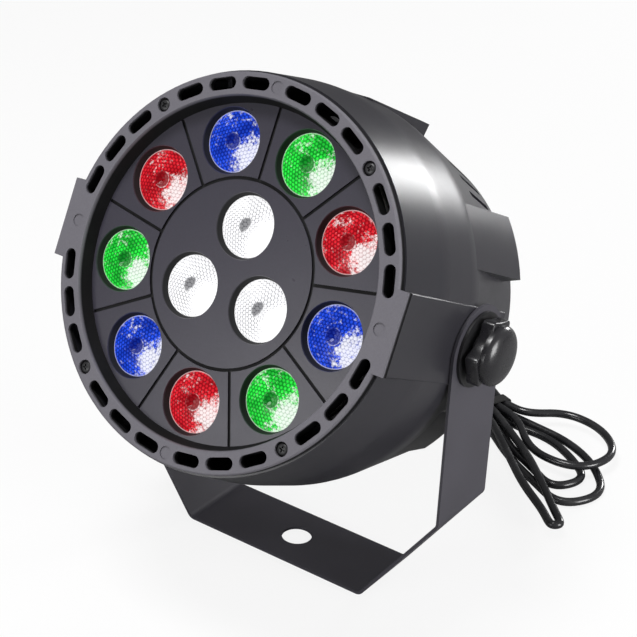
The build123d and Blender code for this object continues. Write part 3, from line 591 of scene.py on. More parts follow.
@dataclass(frozen=True)
class Surface:
    """A material that is made once and shared.

    Attributes:
        name: the finish's name.
        colour: its main colour.
    """

    name: str
    colour: Colour

    def dress(self, sheet: Sheet, shader: bpy.types.Node) -> None:
        """Fills a new material."""
        raise NotImplementedError

    def material(self) -> bpy.types.Material:
        """Makes the material at the first call.

        Returns:
            The material.
        """
        label = self.name + "_finish"
        made = bpy.data.materials.get(label)
        if made is None:
            made = bpy.data.materials.new(label)
            made.use_nodes = True
            self.dress(Sheet(made.node_tree), made.node_tree.nodes["Principled BSDF"])
        return made


@dataclass(frozen=True)
class Finish(Surface):
    """One opaque finish and the effect that details it.

    Attributes:
        roughness: mean roughness.
        metallic: 1 for a metal.
        coat: weight of the clear coat.
        coat_roughness: its roughness.
        specular: specular level.
        glow: strength of the light it sends out in its own colour.
        effect: the shared effect.
        extra: more inputs of the effect.
        recess: top and floor of a hollow in the head's frame, and how dark its painted shade gets.
    """

    roughness: float = 0.45
    metallic: float = 0.0
    coat: float = 0.0
    coat_roughness: float = 0.12
    specular: float = 0.5
    glow: float = 0.0
    effect: type[Effect] = MouldGrain
    extra: tuple[tuple[str, object], ...] = ()
    recess: tuple[float, float, float] | None = None

    def dress(self, sheet: Sheet, shader: bpy.types.Node) -> None:
        """Lays the effect, and the painted shade of the hollow where there is one, on the shader.

        Args:
            sheet: the material's sheet.
            shader: its shader.
        """
        colour, roughness = self.colour, self.roughness
        # painted shade: the hollow is darkened before the effect's grain is laid on
        if self.recess:
            top, floor, dark = self.recess
            hollow = PaintedRecessShade.use(sheet, Colour=colour, Roughness=roughness, Top=top, Floor=floor, Dark=dark)
            colour, roughness = hollow["Colour"], hollow["Roughness"]
        out = self.effect.use(sheet, Colour=colour, Roughness=roughness, **dict(self.extra))
        values = {
            "Base Color": out["Colour"],
            "Roughness": out["Roughness"],
            "Normal": out["Normal"],
            "Metallic": self.metallic,
            "Coat Weight": self.coat,
            "Coat Roughness": self.coat_roughness,
            "Specular IOR Level": self.specular,
        }
        if self.glow:
            values |= {"Emission Color": out["Colour"], "Emission Strength": self.glow}
        for label, value in values.items():
            sheet.feed(shader.inputs[label], value)


@dataclass(frozen=True)
class LensFinish(Surface):
    """A lit, pebbled lens.

    Attributes:
        deep: colour of the seams and the dimple.
        glow: strength of the light it sends out.
        pale: strength of the painted white glints.
        flare: how far the painted glints close up on their brighter side, the painted highlight flare.
        seam: width of the dark seams between the pebbles.
        cloud: how deep the darker clouds are.
        dimple: how light the painted light on the dimple's flare side is.
        index: the plastic's index of refraction.
        specular: specular level.
    """

    deep: Colour
    glow: float = 0.9
    pale: float = 0.95
    flare: float = 0.3
    seam: float = 0.55
    cloud: float = 0.55
    dimple: float = 0.0
    index: float = 1.49
    specular: float = 0.12

    def dress(self, sheet: Sheet, shader: bpy.types.Node) -> None:
        """Lays the pebbles and their light on the shader.

        Args:
            sheet: the material's sheet.
            shader: its shader.
        """
        out = PebbleGlow.use(
            sheet, Colour=self.colour, Deep_Colour=self.deep, Pale=self.pale, Flare=self.flare,
            Seam_Width=self.seam, Cloud=self.cloud, Dimple_Light=self.dimple,
        )
        values = {
            "Base Color": out["Colour"],
            "Emission Color": out["Glow"],
            "Roughness": out["Roughness"],
            "Emission Strength": self.glow,
            "IOR": self.index,
            "Specular IOR Level": self.specular,
        }
        for label, value in values.items():
            sheet.feed(shader.inputs[label], value)


GRAIN = (("Grain_Scale", 1700.0), ("Grain_Depth", 0.06), ("Rub", 0.03))
SMOOTH_GRAIN = (("Grain_Scale", 1200.0), ("Grain_Depth", 0.02), ("Rub", 0.04))
PEEL = (("Peel_Scale", 1500.0), ("Peel_Depth", 0.2))
DUST = (("Dust", 0.1),)
# painted shade: top, floor and darkness of the ring's slots, dimples and bezel wall, and of the panel's grooves and
# lens holes
RING_PAINTED_SHADE = (-0.6 * MM, -1.6 * MM, 0.97)
PANEL_PAINTED_SHADE = (-6.4 * MM, -7.0 * MM, 0.95)

FINISHES: dict[str, Finish] = {
    finish.name: finish
    for finish in (
        Finish("shell_plastic", (0.026, 0.025, 0.031), 0.34, extra=GRAIN),
        Finish("ring_plastic", (0.15, 0.144, 0.165), 0.52, specular=0.25, extra=GRAIN, recess=RING_PAINTED_SHADE),
        Finish("panel_plastic", (0.038, 0.035, 0.050), 0.32, specular=0.45, extra=SMOOTH_GRAIN, recess=PANEL_PAINTED_SHADE),
        Finish("holder_plastic", (0.02, 0.02, 0.021), 0.5, extra=GRAIN),
        Finish("led_resin", (0.85, 0.78, 0.3), 0.2, coat=0.8, extra=SMOOTH_GRAIN),
        Finish("board_white", (0.75, 0.75, 0.72), 0.4, extra=SMOOTH_GRAIN),
        Finish("board_green", (0.02, 0.13, 0.05), 0.32, coat=0.4, extra=SMOOTH_GRAIN),
        Finish("sink_aluminium", (0.6, 0.61, 0.62), 0.35, 1.0, effect=Machined),
        Finish("transformer_core", (0.09, 0.07, 0.05), 0.5, extra=GRAIN),
        Finish("capacitor_sleeve", (0.02, 0.025, 0.08), 0.25, coat=0.5, extra=SMOOTH_GRAIN),
        Finish("chip_plastic", (0.02, 0.02, 0.02), 0.5, extra=GRAIN),
        Finish("spacer_nylon", (0.7, 0.68, 0.6), 0.45, extra=SMOOTH_GRAIN),
        Finish("screw_steel", (0.03, 0.03, 0.032), 0.4, 0.3, effect=Machined),
        Finish("fan_plastic", (0.022, 0.022, 0.024), 0.45, extra=GRAIN),
        Finish("window_tint", (0.03, 0.004, 0.004), 0.12, coat=1.0, extra=SMOOTH_GRAIN),
        Finish("digit_glow", (0.9, 0.04, 0.02), 0.3, glow=1.1, extra=SMOOTH_GRAIN),
        Finish("display_plastic", (0.03, 0.03, 0.03), 0.3, extra=SMOOTH_GRAIN),
        Finish("button_plastic", (0.16, 0.16, 0.17), 0.45, extra=GRAIN),
        Finish("socket_metal", (0.6, 0.59, 0.57), 0.28, 1.0, effect=Machined),
        Finish("contact_gold", (0.85, 0.62, 0.25), 0.2, 1.0, effect=Machined),
        Finish("gland_nylon", (0.025, 0.025, 0.027), 0.4, extra=GRAIN),
        Finish("bracket_paint", (0.058, 0.055, 0.068), 0.42, effect=PowderCoat, extra=PEEL),
        Finish("washer_rubber", (0.007, 0.0067, 0.008), 0.5, extra=GRAIN),
        Finish("knob_plastic", (0.014, 0.0135, 0.016), 0.28, coat=0.2, extra=SMOOTH_GRAIN),
        Finish("stud_steel", (0.55, 0.55, 0.53), 0.25, 1.0, effect=Machined),
        Finish("insert_brass", (0.75, 0.55, 0.2), 0.25, 1.0, effect=Machined),
        Finish("cord_pvc", (0.014, 0.014, 0.016), 0.22, coat=0.3, effect=Sheath, extra=DUST),
        Finish("tie_nylon", (0.02, 0.02, 0.02), 0.4, extra=GRAIN),
        Finish("plug_pvc", (0.018, 0.018, 0.02), 0.35, effect=Sheath, extra=DUST),
        Finish("pin_nickel", (0.72, 0.7, 0.66), 0.18, 1.0, effect=Machined),
    )
}

LENS_FINISHES: dict[LensColour, LensFinish] = {
    LensColour.BLUE: LensFinish("lens_blue", (0.02, 0.09, 0.88), (0.0, 0.004, 0.15)),
    LensColour.GREEN: LensFinish("lens_green", (0.03, 0.95, 0.07), (0.0, 0.11, 0.008)),
    LensColour.RED: LensFinish("lens_red", (0.85, 0.02, 0.035), (0.17, 0.0, 0.003)),
    LensColour.WHITE: LensFinish(
        "lens_white", (0.95, 0.95, 0.97), (0.05, 0.05, 0.06),
        glow=1.0, pale=1.0, flare=0.4, seam=0.24, cloud=0.06, dimple=0.7,
    ),
}


# ---------------------------------------------------------------- making meshes


def to_mesh(name: str, form: bmesh.types.BMesh, placed: Matrix | None = None, smooth: float = 35.0) -> bpy.types.Mesh:
    """Closes a bmesh into a mesh with smooth shading up to an angle.

    Args:
        name: the mesh's name.
        form: the bmesh, freed here.
        placed: matrix to the part's frame.
        smooth: angle in degrees over which an edge stays sharp.

    Returns:
        The mesh.
    """
    bmesh.ops.remove_doubles(form, verts=form.verts, dist=SAME_PLACE)
    bmesh.ops.recalc_face_normals(form, faces=form.faces)
    if placed is not None:
        form.transform(placed)
    limit = math.radians(smooth)
    for face in form.faces:
        face.smooth = True
    for edge in form.edges:
        edge.smooth = edge.calc_face_angle(math.pi) < limit
    mesh = bpy.data.meshes.new(name)
    form.to_mesh(mesh)
    form.free()
    return mesh


def lathe(profile: Sequence[Flat], steps: int) -> bmesh.types.BMesh:
    """Spins a profile about Z.

    Args:
        profile: (radius, height) points in metres.
        steps: steps round.

    Returns:
        A new bmesh.
    """
    form = bmesh.new()
    line = [form.verts.new((r, 0.0, z)) for r, z in profile]
    for a, b in zip(line, line[1:]):
        form.edges.new((a, b))
    whole = form.verts[:] + form.edges[:]
    bmesh.ops.spin(form, geom=whole, cent=(0, 0, 0), axis=(0, 0, 1), angle=math.tau, steps=steps, use_merge=True)
    bmesh.ops.remove_doubles(form, verts=form.verts, dist=SAME_PLACE)
    return form


def raise_face(form: bmesh.types.BMesh, outline: Sequence[Point], thickness: float) -> None:
    """Adds a flat face and raises it into a closed prism.

    Args:
        form: the bmesh that grows.
        outline: the face's corners, all at one height.
        thickness: height of the prism.
    """
    face = form.faces.new([form.verts.new(corner) for corner in outline])
    raised = bmesh.ops.extrude_face_region(form, geom=[face], use_keep_orig=True)
    upper = [item for item in raised["geom"] if isinstance(item, bmesh.types.BMVert)]
    bmesh.ops.translate(form, verts=upper, vec=(0.0, 0.0, thickness))


def merge(target: bmesh.types.BMesh, extra: bmesh.types.BMesh, placed: Matrix | None = None) -> None:
    """Adds one bmesh to another.

    Args:
        target: the bmesh that grows.
        extra: the bmesh that is used up.
        placed: matrix for the added one.
    """
    if placed is not None:
        extra.transform(placed)
    scrap = bpy.data.meshes.new("scrap")
    extra.to_mesh(scrap)
    extra.free()
    target.from_mesh(scrap)
    bpy.data.meshes.remove(scrap)


@dataclass
class SubAssembly:
    """A group of pieces that are built and dressed together.

    Attributes:
        pieces: the pieces, in the order that they are built.
    """

    pieces: list[bpy.types.Object] = field(default_factory=list, init=False)

    def add(self, mesh: bpy.types.Mesh, finish: Surface, slot: str, body: Body | None = None) -> bpy.types.Object:
        """Links a mesh as a piece with the mesh's name.

        Args:
            mesh: its mesh, in the part's frame.
            finish: its finish.
            slot: the record's material slot; not used.
            body: the CAD body that it rides on, or None for a piece that is not attached to a body.

        Returns:
            The piece.
        """
        made = bpy.data.objects.new(mesh.name, mesh)
        bpy.context.scene.collection.objects.link(made)
        mesh.materials.clear()
        mesh.materials.append(finish.material())
        if body is not None:
            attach(made, body.value)
        self.pieces.append(made)
        return made

    def build(self) -> None:
        """Builds the pieces."""
        raise NotImplementedError

    def report(self) -> None:
        """Logs each piece."""
        for piece in self.pieces:
            LOG.info("%s: %s", type(self).__name__, piece.name)


# ---------------------------------------------------------------- carried-over CAD nodes


@dataclass
class CarriedNodes(SubAssembly):
    """CAD nodes whose shape is right, each given its finish, and those listed in rounded a fine rounded edge.

    Attributes:
        rounded: nodes that get the rounded edge.
        edge: its width.
        sharpest: the angle in degrees over which an edge is rounded.
    """

    rounded: tuple[str, ...] = ("bracket", "front_ring", "lens_panel", "plug_body", "rear_cover")
    edge: float = 0.3 * MM
    sharpest: float = 40.0

    def build(self) -> None:
        """Dresses every node that isn't a lens."""
        slots = {part["node"]: part["material_slot"] for part in frame["record"]["subparts"]}
        lenses = tuple(f"lens_{colour.value}_" for colour in LensColour)
        for name, node in frame["nodes"].items():
            if name.startswith(lenses):
                continue
            node.data.materials.clear()
            node.data.materials.append(FINISHES[slots[name]].material())
            if name in self.rounded and not node.hide_render:
                bevel = node.modifiers.new("edge", "BEVEL")
                bevel.width = self.edge
                bevel.segments = 2
                bevel.limit_method = "ANGLE"
                bevel.angle_limit = math.radians(self.sharpest)
                bevel.harden_normals = True
            self.pieces.append(node)


# ---------------------------------------------------------------- lenses


@dataclass
class LensArray(SubAssembly):
    """Twelve pebbled collimator lenses in three colours and white.

    Attributes:
        front: height of the lens's rim in the head's frame.
        view_radius: radius that shows through the panel.
        dome: rise of the face's middle.
        dimple: radius of the central dimple.
        bowl: depth of the dimple.
        under: depth under which the dimple has no pebbles.
        slack: how far under the rim a point still counts as face.
        skirt: radius and height in mm of the points behind the face: flange, cone and the LED's pocket.
        pitch: distance between pebbles.
        pebble: height of a pebble.
        fade: width of the rim over which the pebbles rise.
        plain: pebble share of what lies behind the face.
        rings: rings of the face.
        steps: steps round.
        outer_circle: radius of the coloured lenses' circle.
        outer_count: how many they are.
        outer_first: angle of the first coloured lens.
        inner_circle: radius of the white lenses' circle.
        inner_count: how many they are.
        flare_angle: direction of the painted highlight flare in degrees.
        flare_power: how closely the flare keeps to it.
        flare_rise: reach at which the flare starts, and over which it grows to its full strength.
        second_angle: how far round the weaker painted flare lies.
        second_power: how closely it keeps to its direction.
        second_share: how strong it is.
        crater: reach of the painted light on the dimple's flare side.
        crater_slope: how fast the light grows across it.
        smooth: angle in degrees up to which an edge is shaded smooth.
    """

    front: float = -9.35 * MM
    view_radius: float = 11.8 * MM
    dome: float = 1.8 * MM
    dimple: float = 3.0 * MM
    bowl: float = 1.7 * MM
    under: float = 1.4 * MM
    slack: float = 0.02 * MM
    skirt: tuple[Flat, ...] = (
        (12.0, 0.0), (12.5, -0.05), (12.6, -0.15), (12.6, -1.4), (12.5, -1.5), (11.4, -1.55),
        (8.3, -7.0), (5.0, -12.45), (3.4, -12.45), (3.3, -9.4), (0.0, -9.3),
    )
    pitch: float = 1.55 * MM
    pebble: float = 0.1 * MM
    fade: float = 0.8 * MM
    plain: float = 0.3
    rings: int = 44
    steps: int = 132
    outer_circle: float = 50.3 * MM
    outer_count: int = 9
    outer_first: float = 110.0
    inner_circle: float = 18.6 * MM
    inner_count: int = 3
    flare_angle: float = -22.0
    flare_power: float = 2.2
    flare_rise: Flat = (0.2, 0.25)
    second_angle: float = 150.0
    second_power: float = 4.0
    second_share: float = 0.28
    crater: float = 0.28
    crater_slope: float = 4.0
    smooth: float = 60.0

    def spots(self) -> list[tuple[LensColour, int, Vector]]:
        """Finds the lenses' places.

        Returns:
            Colour, number and place of each lens, as the CAD has them.
        """
        order = (LensColour.BLUE, LensColour.GREEN, LensColour.RED)
        found = []
        for i in range(self.outer_count):
            turn = self.outer_first - 360.0 / self.outer_count * i
            found.append((order[i % len(order)], i // len(order) + 1, polar(self.outer_circle, turn)))
        for i in range(self.inner_count):
            turn = 90.0 + 360.0 / self.inner_count * i
            found.append((LensColour.WHITE, i + 1, polar(self.inner_circle, turn)))
        return found

    def pebbles(self, x: float, y: float) -> float:
        """Height share of the hexagonal pebbles at a place.

        Args:
            x: across.
            y: up.

        Returns:
            0 in a seam to 1 on a pebble.
        """
        k = math.tau / (self.pitch * math.sqrt(3.0) / 2.0)
        waves = [math.cos(k * (x * math.cos(a) + y * math.sin(a))) for a in (0.0, math.tau / 6, math.tau / 3)]
        # the waves add up to -1.5 in a seam and to 3 on a pebble
        return (sum(waves) + 1.5) / 4.5

    def face_height(self, radius: float) -> float:
        """Height of the smooth face at a radius, over the rim.

        Args:
            radius: the radius.

        Returns:
            The height.
        """
        share = min(1.0, radius / self.view_radius)
        height = self.dome * (1.0 - share * share)
        if radius < self.dimple:
            height -= self.bowl * math.cos(radius / self.dimple * math.pi / 2)
        return height

    def flare_share(self, x: float, y: float) -> float:
        """Share of the painted highlight flare at a place, on the side that flare_angle points to, and of the painted
        light across the dimple.

        Args:
            x: across.
            y: up.

        Returns:
            0 to 1.
        """
        reach = math.hypot(x, y) / self.view_radius
        turn = math.atan2(y, x) - math.radians(self.flare_angle)
        facing = math.cos(turn)
        if reach < self.crater:
            return 0.5 + facing * min(0.5, reach * self.crater_slope)
        if reach > 1.0:
            return 0.0
        beside = math.cos(turn - math.radians(self.second_angle))
        start, over = self.flare_rise
        second = self.second_share * max(0.0, beside) ** self.second_power
        return (max(0.0, facing) ** self.flare_power + second) * min(1.0, (reach - start) / over)

    def lens(self, name: str, seed: int) -> bpy.types.Mesh:
        """One lens about its own axis.

        Args:
            name: the mesh's name.
            seed: turns the pebbles of each lens differently.

        Returns:
            The mesh, with its pebble, reach and flare attributes, flare carrying the painted highlight's share.
        """
        radii = [self.view_radius * i / self.rings for i in range(self.rings + 1)]
        profile = [(r, self.face_height(r)) for r in radii] + [(r * MM, z * MM) for r, z in self.skirt]
        form = lathe(profile, self.steps)
        turn = random.Random(seed).uniform(0.0, math.tau)
        cos, sin = math.cos(turn), math.sin(turn)
        cell, away, flare = (form.verts.layers.float.new(label) for label in ("pebble", "reach", "flare"))
        for vert in form.verts:
            x, y, z = vert.co
            radius = math.hypot(x, y)
            vert[away] = min(1.0, radius / self.view_radius)
            # painted highlight: the flare share is stored on each vertex for the lens finish
            vert[flare] = self.flare_share(x, y)
            if z < -self.slack and radius > self.dimple or z < -self.under:
                vert[cell] = self.plain
                continue
            share = self.pebbles(x * cos - y * sin, x * sin + y * cos)
            rise = min(1.0, max(0.0, (self.view_radius - radius) / self.fade))
            vert[cell] = share
            vert.co.z += self.pebble * share * rise
        form.transform(Matrix.Translation((0, 0, self.front)))
        return to_mesh(name, form, smooth=self.smooth)

    def build(self) -> None:
        """Builds the twelve lenses."""
        for seed, (colour, number, spot) in enumerate(self.spots()):
            node = f"lens_{colour.value}_{number}"
            mesh = self.lens(node + "_optic", seed)
            mesh.transform(HEAD.matrix @ Matrix.Translation((*spot, 0.0)))
            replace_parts(self.add(mesh, LENS_FINISHES[colour], f"lens_{colour.value}", Body.HEAD), node)


# ---------------------------------------------------------------- screws


@dataclass
class CrossScrews(SubAssembly):
    """Pan-head screws with a cross recess, sunk in the ring and on the rear cover.

    Attributes:
        radius: radius of a head.
        height: its height.
        shoulder: share of the height that its domed top loses at the rim.
        shank: radius of the shank.
        length: length of the shank.
        arm: half length of the cross recess.
        slot: half width of its arms.
        soft: width over which its sides fall.
        depth: its depth.
        rings: rings of the head.
        steps: steps round.
        circle: radius of the ring screws' circle.
        angle: angle of the first ring screw.
        seat: height of the ring screws' seat.
        cover_circle: radius of the cover screws' circle.
        cover_count: how many they are.
        fan_offset: place of the fan screws from the axis.
        smooth: angle in degrees up to which an edge is shaded smooth.
    """

    radius: float = 2.2 * MM
    height: float = 1.15 * MM
    shoulder: float = 0.45
    shank: float = 1.25 * MM
    length: float = 9.0 * MM
    arm: float = 1.25 * MM
    slot: float = 0.3 * MM
    soft: float = 0.1 * MM
    depth: float = 0.8 * MM
    rings: int = 24
    steps: int = 72
    circle: float = 70.65 * MM
    angle: float = 48.0
    seat: float = -1.6 * MM
    cover_circle: float = 57.0 * MM
    cover_count: int = 6
    fan_offset: float = 16.0 * MM
    smooth: float = 50.0

    def recess(self, x: float, y: float) -> float:
        """Depth share of the cross recess at a place.

        Args:
            x: across.
            y: up.

        Returns:
            0 outside the cross to 1 in it.
        """
        shares = []
        for a, b in ((abs(x), abs(y)), (abs(y), abs(x))):
            across = min(1.0, max(0.0, (self.slot - a) / self.soft + 0.5))
            along = min(1.0, max(0.0, (self.arm - b) / (3 * self.soft)))
            shares.append(across * along)
        return max(shares)

    def screw(self, turn: float) -> bmesh.types.BMesh:
        """One screw with its seat at 0 and its head up.

        Args:
            turn: angle of the cross recess.

        Returns:
            A new bmesh.
        """
        shares = [i / self.rings for i in range(self.rings + 1)]
        profile = [(self.radius * share, self.height * (1.0 - self.shoulder * share**4)) for share in shares]
        profile += [(self.radius, 0.0), (self.shank, 0.0), (self.shank, -self.length), (0.0, -self.length)]
        form = lathe(profile, self.steps)
        for vert in form.verts:
            if vert.co.z > self.height * 0.5:
                vert.co.z -= self.depth * self.recess(vert.co.x, vert.co.y)
        form.transform(Matrix.Rotation(turn, 4, "Z"))
        return form

    def group(self, name: str, places: Sequence[Vector], seat: float, back: bool, node: str) -> None:
        """One object of alike screws that stands for a CAD node.

        Args:
            name: the object's name.
            places: place of each screw in the head's frame.
            seat: height of their seats.
            back: True where the heads face the rear.
            node: the CAD node.
        """
        form = bmesh.new()
        chance = random.Random(name)
        over = Matrix.Rotation(math.pi, 4, "X") if back else Matrix()
        for place in places:
            merge(form, self.screw(chance.uniform(0.0, math.tau)), Matrix.Translation((*place, seat)) @ over)
        mesh = to_mesh(name, form, HEAD.matrix, self.smooth)
        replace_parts(self.add(mesh, FINISHES["screw_steel"], "screw_steel", Body.HEAD), node)

    def build(self) -> None:
        """Builds the ring's and the cover's screws."""
        turns = (self.angle, 180.0 - self.angle, 180.0 + self.angle, 360.0 - self.angle)
        around = [polar(self.circle, turn) for turn in turns]
        self.group("ring_cross_screws", around, self.seat, False, "ring_screws")
        behind = [polar(self.cover_circle, 360.0 / self.cover_count * i) for i in range(self.cover_count)]
        behind += [Vector((x * self.fan_offset, y * self.fan_offset)) for x in (-1, 1) for y in (-1, 1)]
        self.group("rear_cross_screws", behind, HEAD.cover_face, True, "rear_screws")


# ---------------------------------------------------------------- clamp knobs


@dataclass
class ClampKnobs(SubAssembly):
    """The two lobed clamp knobs: three wings with hollowed ends under a broad domed cap.

    Attributes:
        start: distance of a knob's foot from the middle plane.
        reach: radius of the wings' corners.
        wings: how many wings.
        half_angle: half width of a wing in degrees.
        dip: depth of the hollow in a wing's end.
        waist: radius of the hollows between the wings.
        arc_steps: points on each arc of the outline.
        smoothing: how often the outline is smoothed to round its corners.
        foot: radius and height of the foot.
        foot_edge: width of its chamfer.
        foot_steps: steps round it.
        sink: how deep the foot reaches into the wings.
        thickness: thickness of the wings.
        edge: radius of the wings' edges.
        cap: radius of the cap.
        cap_height: its height over the wings.
        cap_sink: how deep it starts in the wings.
        cap_wall: share of its height that stands upright.
        cap_steps: steps of its dome, up and round.
        cap_power: how square the dome is, across and up.
        bore: radius of the hole for the stud.
        phase: angle of the first wing.
        smooth: angle in degrees up to which an edge is shaded smooth.
    """

    start: float = 80.3 * MM
    reach: float = 15.9 * MM
    wings: int = 3
    half_angle: float = 28.0
    dip: float = 1.3 * MM
    waist: float = 8.9 * MM
    arc_steps: int = 16
    smoothing: int = 14
    foot: Flat = (8.2 * MM, 1.2 * MM)
    foot_edge: float = 0.2 * MM
    foot_steps: int = 72
    sink: float = 0.1 * MM
    thickness: float = 5.2 * MM
    edge: float = 0.5 * MM
    cap: float = 11.9 * MM
    cap_height: float = 5.2 * MM
    cap_sink: float = 0.3 * MM
    cap_wall: float = 0.25
    cap_steps: tuple[int, int] = (14, 96)
    cap_power: Flat = (0.62, 1.2)
    bore: float = 3.0 * MM
    phase: float = 75.0
    smooth: float = 40.0

    def arc(self, first: Vector, through: Vector, last: Vector) -> list[Vector]:
        """Points of an arc through three points.

        Args:
            first: first point.
            through: a point between.
            last: last point.

        Returns:
            The points, without the last one.
        """
        a, b = through - first, last - first
        cross = 2 * (a.x * b.y - a.y * b.x)
        centre = first + Vector((b.y * a.dot(a) - a.y * b.dot(b), a.x * b.dot(b) - b.x * a.dot(a))) / cross
        begin = first - centre
        turn = begin.angle_signed(last - centre)
        found = []
        for i in range(self.arc_steps):
            angle = -turn * i / self.arc_steps
            cos, sin = math.cos(angle), math.sin(angle)
            found.append(centre + Vector((begin.x * cos - begin.y * sin, begin.x * sin + begin.y * cos)))
        return found

    def outline(self) -> list[Vector]:
        """Outline of the wings with rounded corners.

        Returns:
            The closed outline.
        """
        end = self.reach * math.cos(math.radians(self.half_angle)) - self.dip
        period = 360.0 / self.wings
        line: list[Vector] = []
        for i in range(self.wings):
            middle = period * i
            first, last = polar(self.reach, middle - self.half_angle), polar(self.reach, middle + self.half_angle)
            line += self.arc(first, polar(end, middle), last)
            following = polar(self.reach, middle + period - self.half_angle)
            line += self.arc(last, polar(self.waist, middle + period / 2), following)
        count = len(line)
        for _ in range(self.smoothing):
            line = [(line[i - 1] + line[i] * 2 + line[(i + 1) % count]) / 4 for i in range(count)]
        return line

    def form(self) -> bmesh.types.BMesh:
        """One knob about its axis, its foot at 0.

        Returns:
            A new bmesh.
        """
        made = bmesh.new()
        radius, base = self.foot
        top = base + self.thickness
        raise_face(made, [(*point, base) for point in self.outline()], self.thickness)
        bmesh.ops.recalc_face_normals(made, faces=made.faces)
        rims = [edge for edge in made.edges if abs(edge.verts[0].co.z - edge.verts[1].co.z) < SAME_PLACE]
        bmesh.ops.bevel(made, geom=rims, offset=self.edge, segments=4, profile=0.5, affect="EDGES", material=-1)
        foot = [(self.bore, 0.0), (radius - self.foot_edge, 0.0), (radius, self.foot_edge)]
        foot += [(radius, base + self.sink), (self.bore, base + self.sink), (self.bore, 0.0)]
        merge(made, lathe(foot, self.foot_steps))
        wall, (across, up) = self.cap_wall, self.cap_power
        dome = [(0.0, top - self.cap_sink), (self.cap, top - self.cap_sink), (self.cap, top + wall * self.cap_height)]
        steps, around = self.cap_steps
        for i in range(1, steps):
            turn = math.pi / 2 * i / steps
            rise = wall + (1.0 - wall) * math.sin(turn) ** up
            dome.append((self.cap * math.cos(turn) ** across, top + self.cap_height * rise))
        merge(made, lathe(dome + [(0.0, top + self.cap_height)], around))
        return made

    def build(self) -> None:
        """Builds both knobs."""
        for name, side, body in (("left", -1, Body.KNOB_LEFT), ("right", 1, Body.KNOB_RIGHT)):
            placed = Matrix.Translation((side * self.start, 0.0, HEAD.pivot_height))
            placed = placed @ Matrix.Rotation(math.radians(side * 90.0), 4, "Y")
            placed = placed @ Matrix.Rotation(math.radians(90.0 + side * self.phase), 4, "Z")
            mesh = to_mesh(f"knob_{name}_lobed", self.form(), placed, self.smooth)
            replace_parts(self.add(mesh, FINISHES["knob_plastic"], "knob_plastic", body), f"clamp_knob_{name}")


# ---------------------------------------------------------------- strain relief


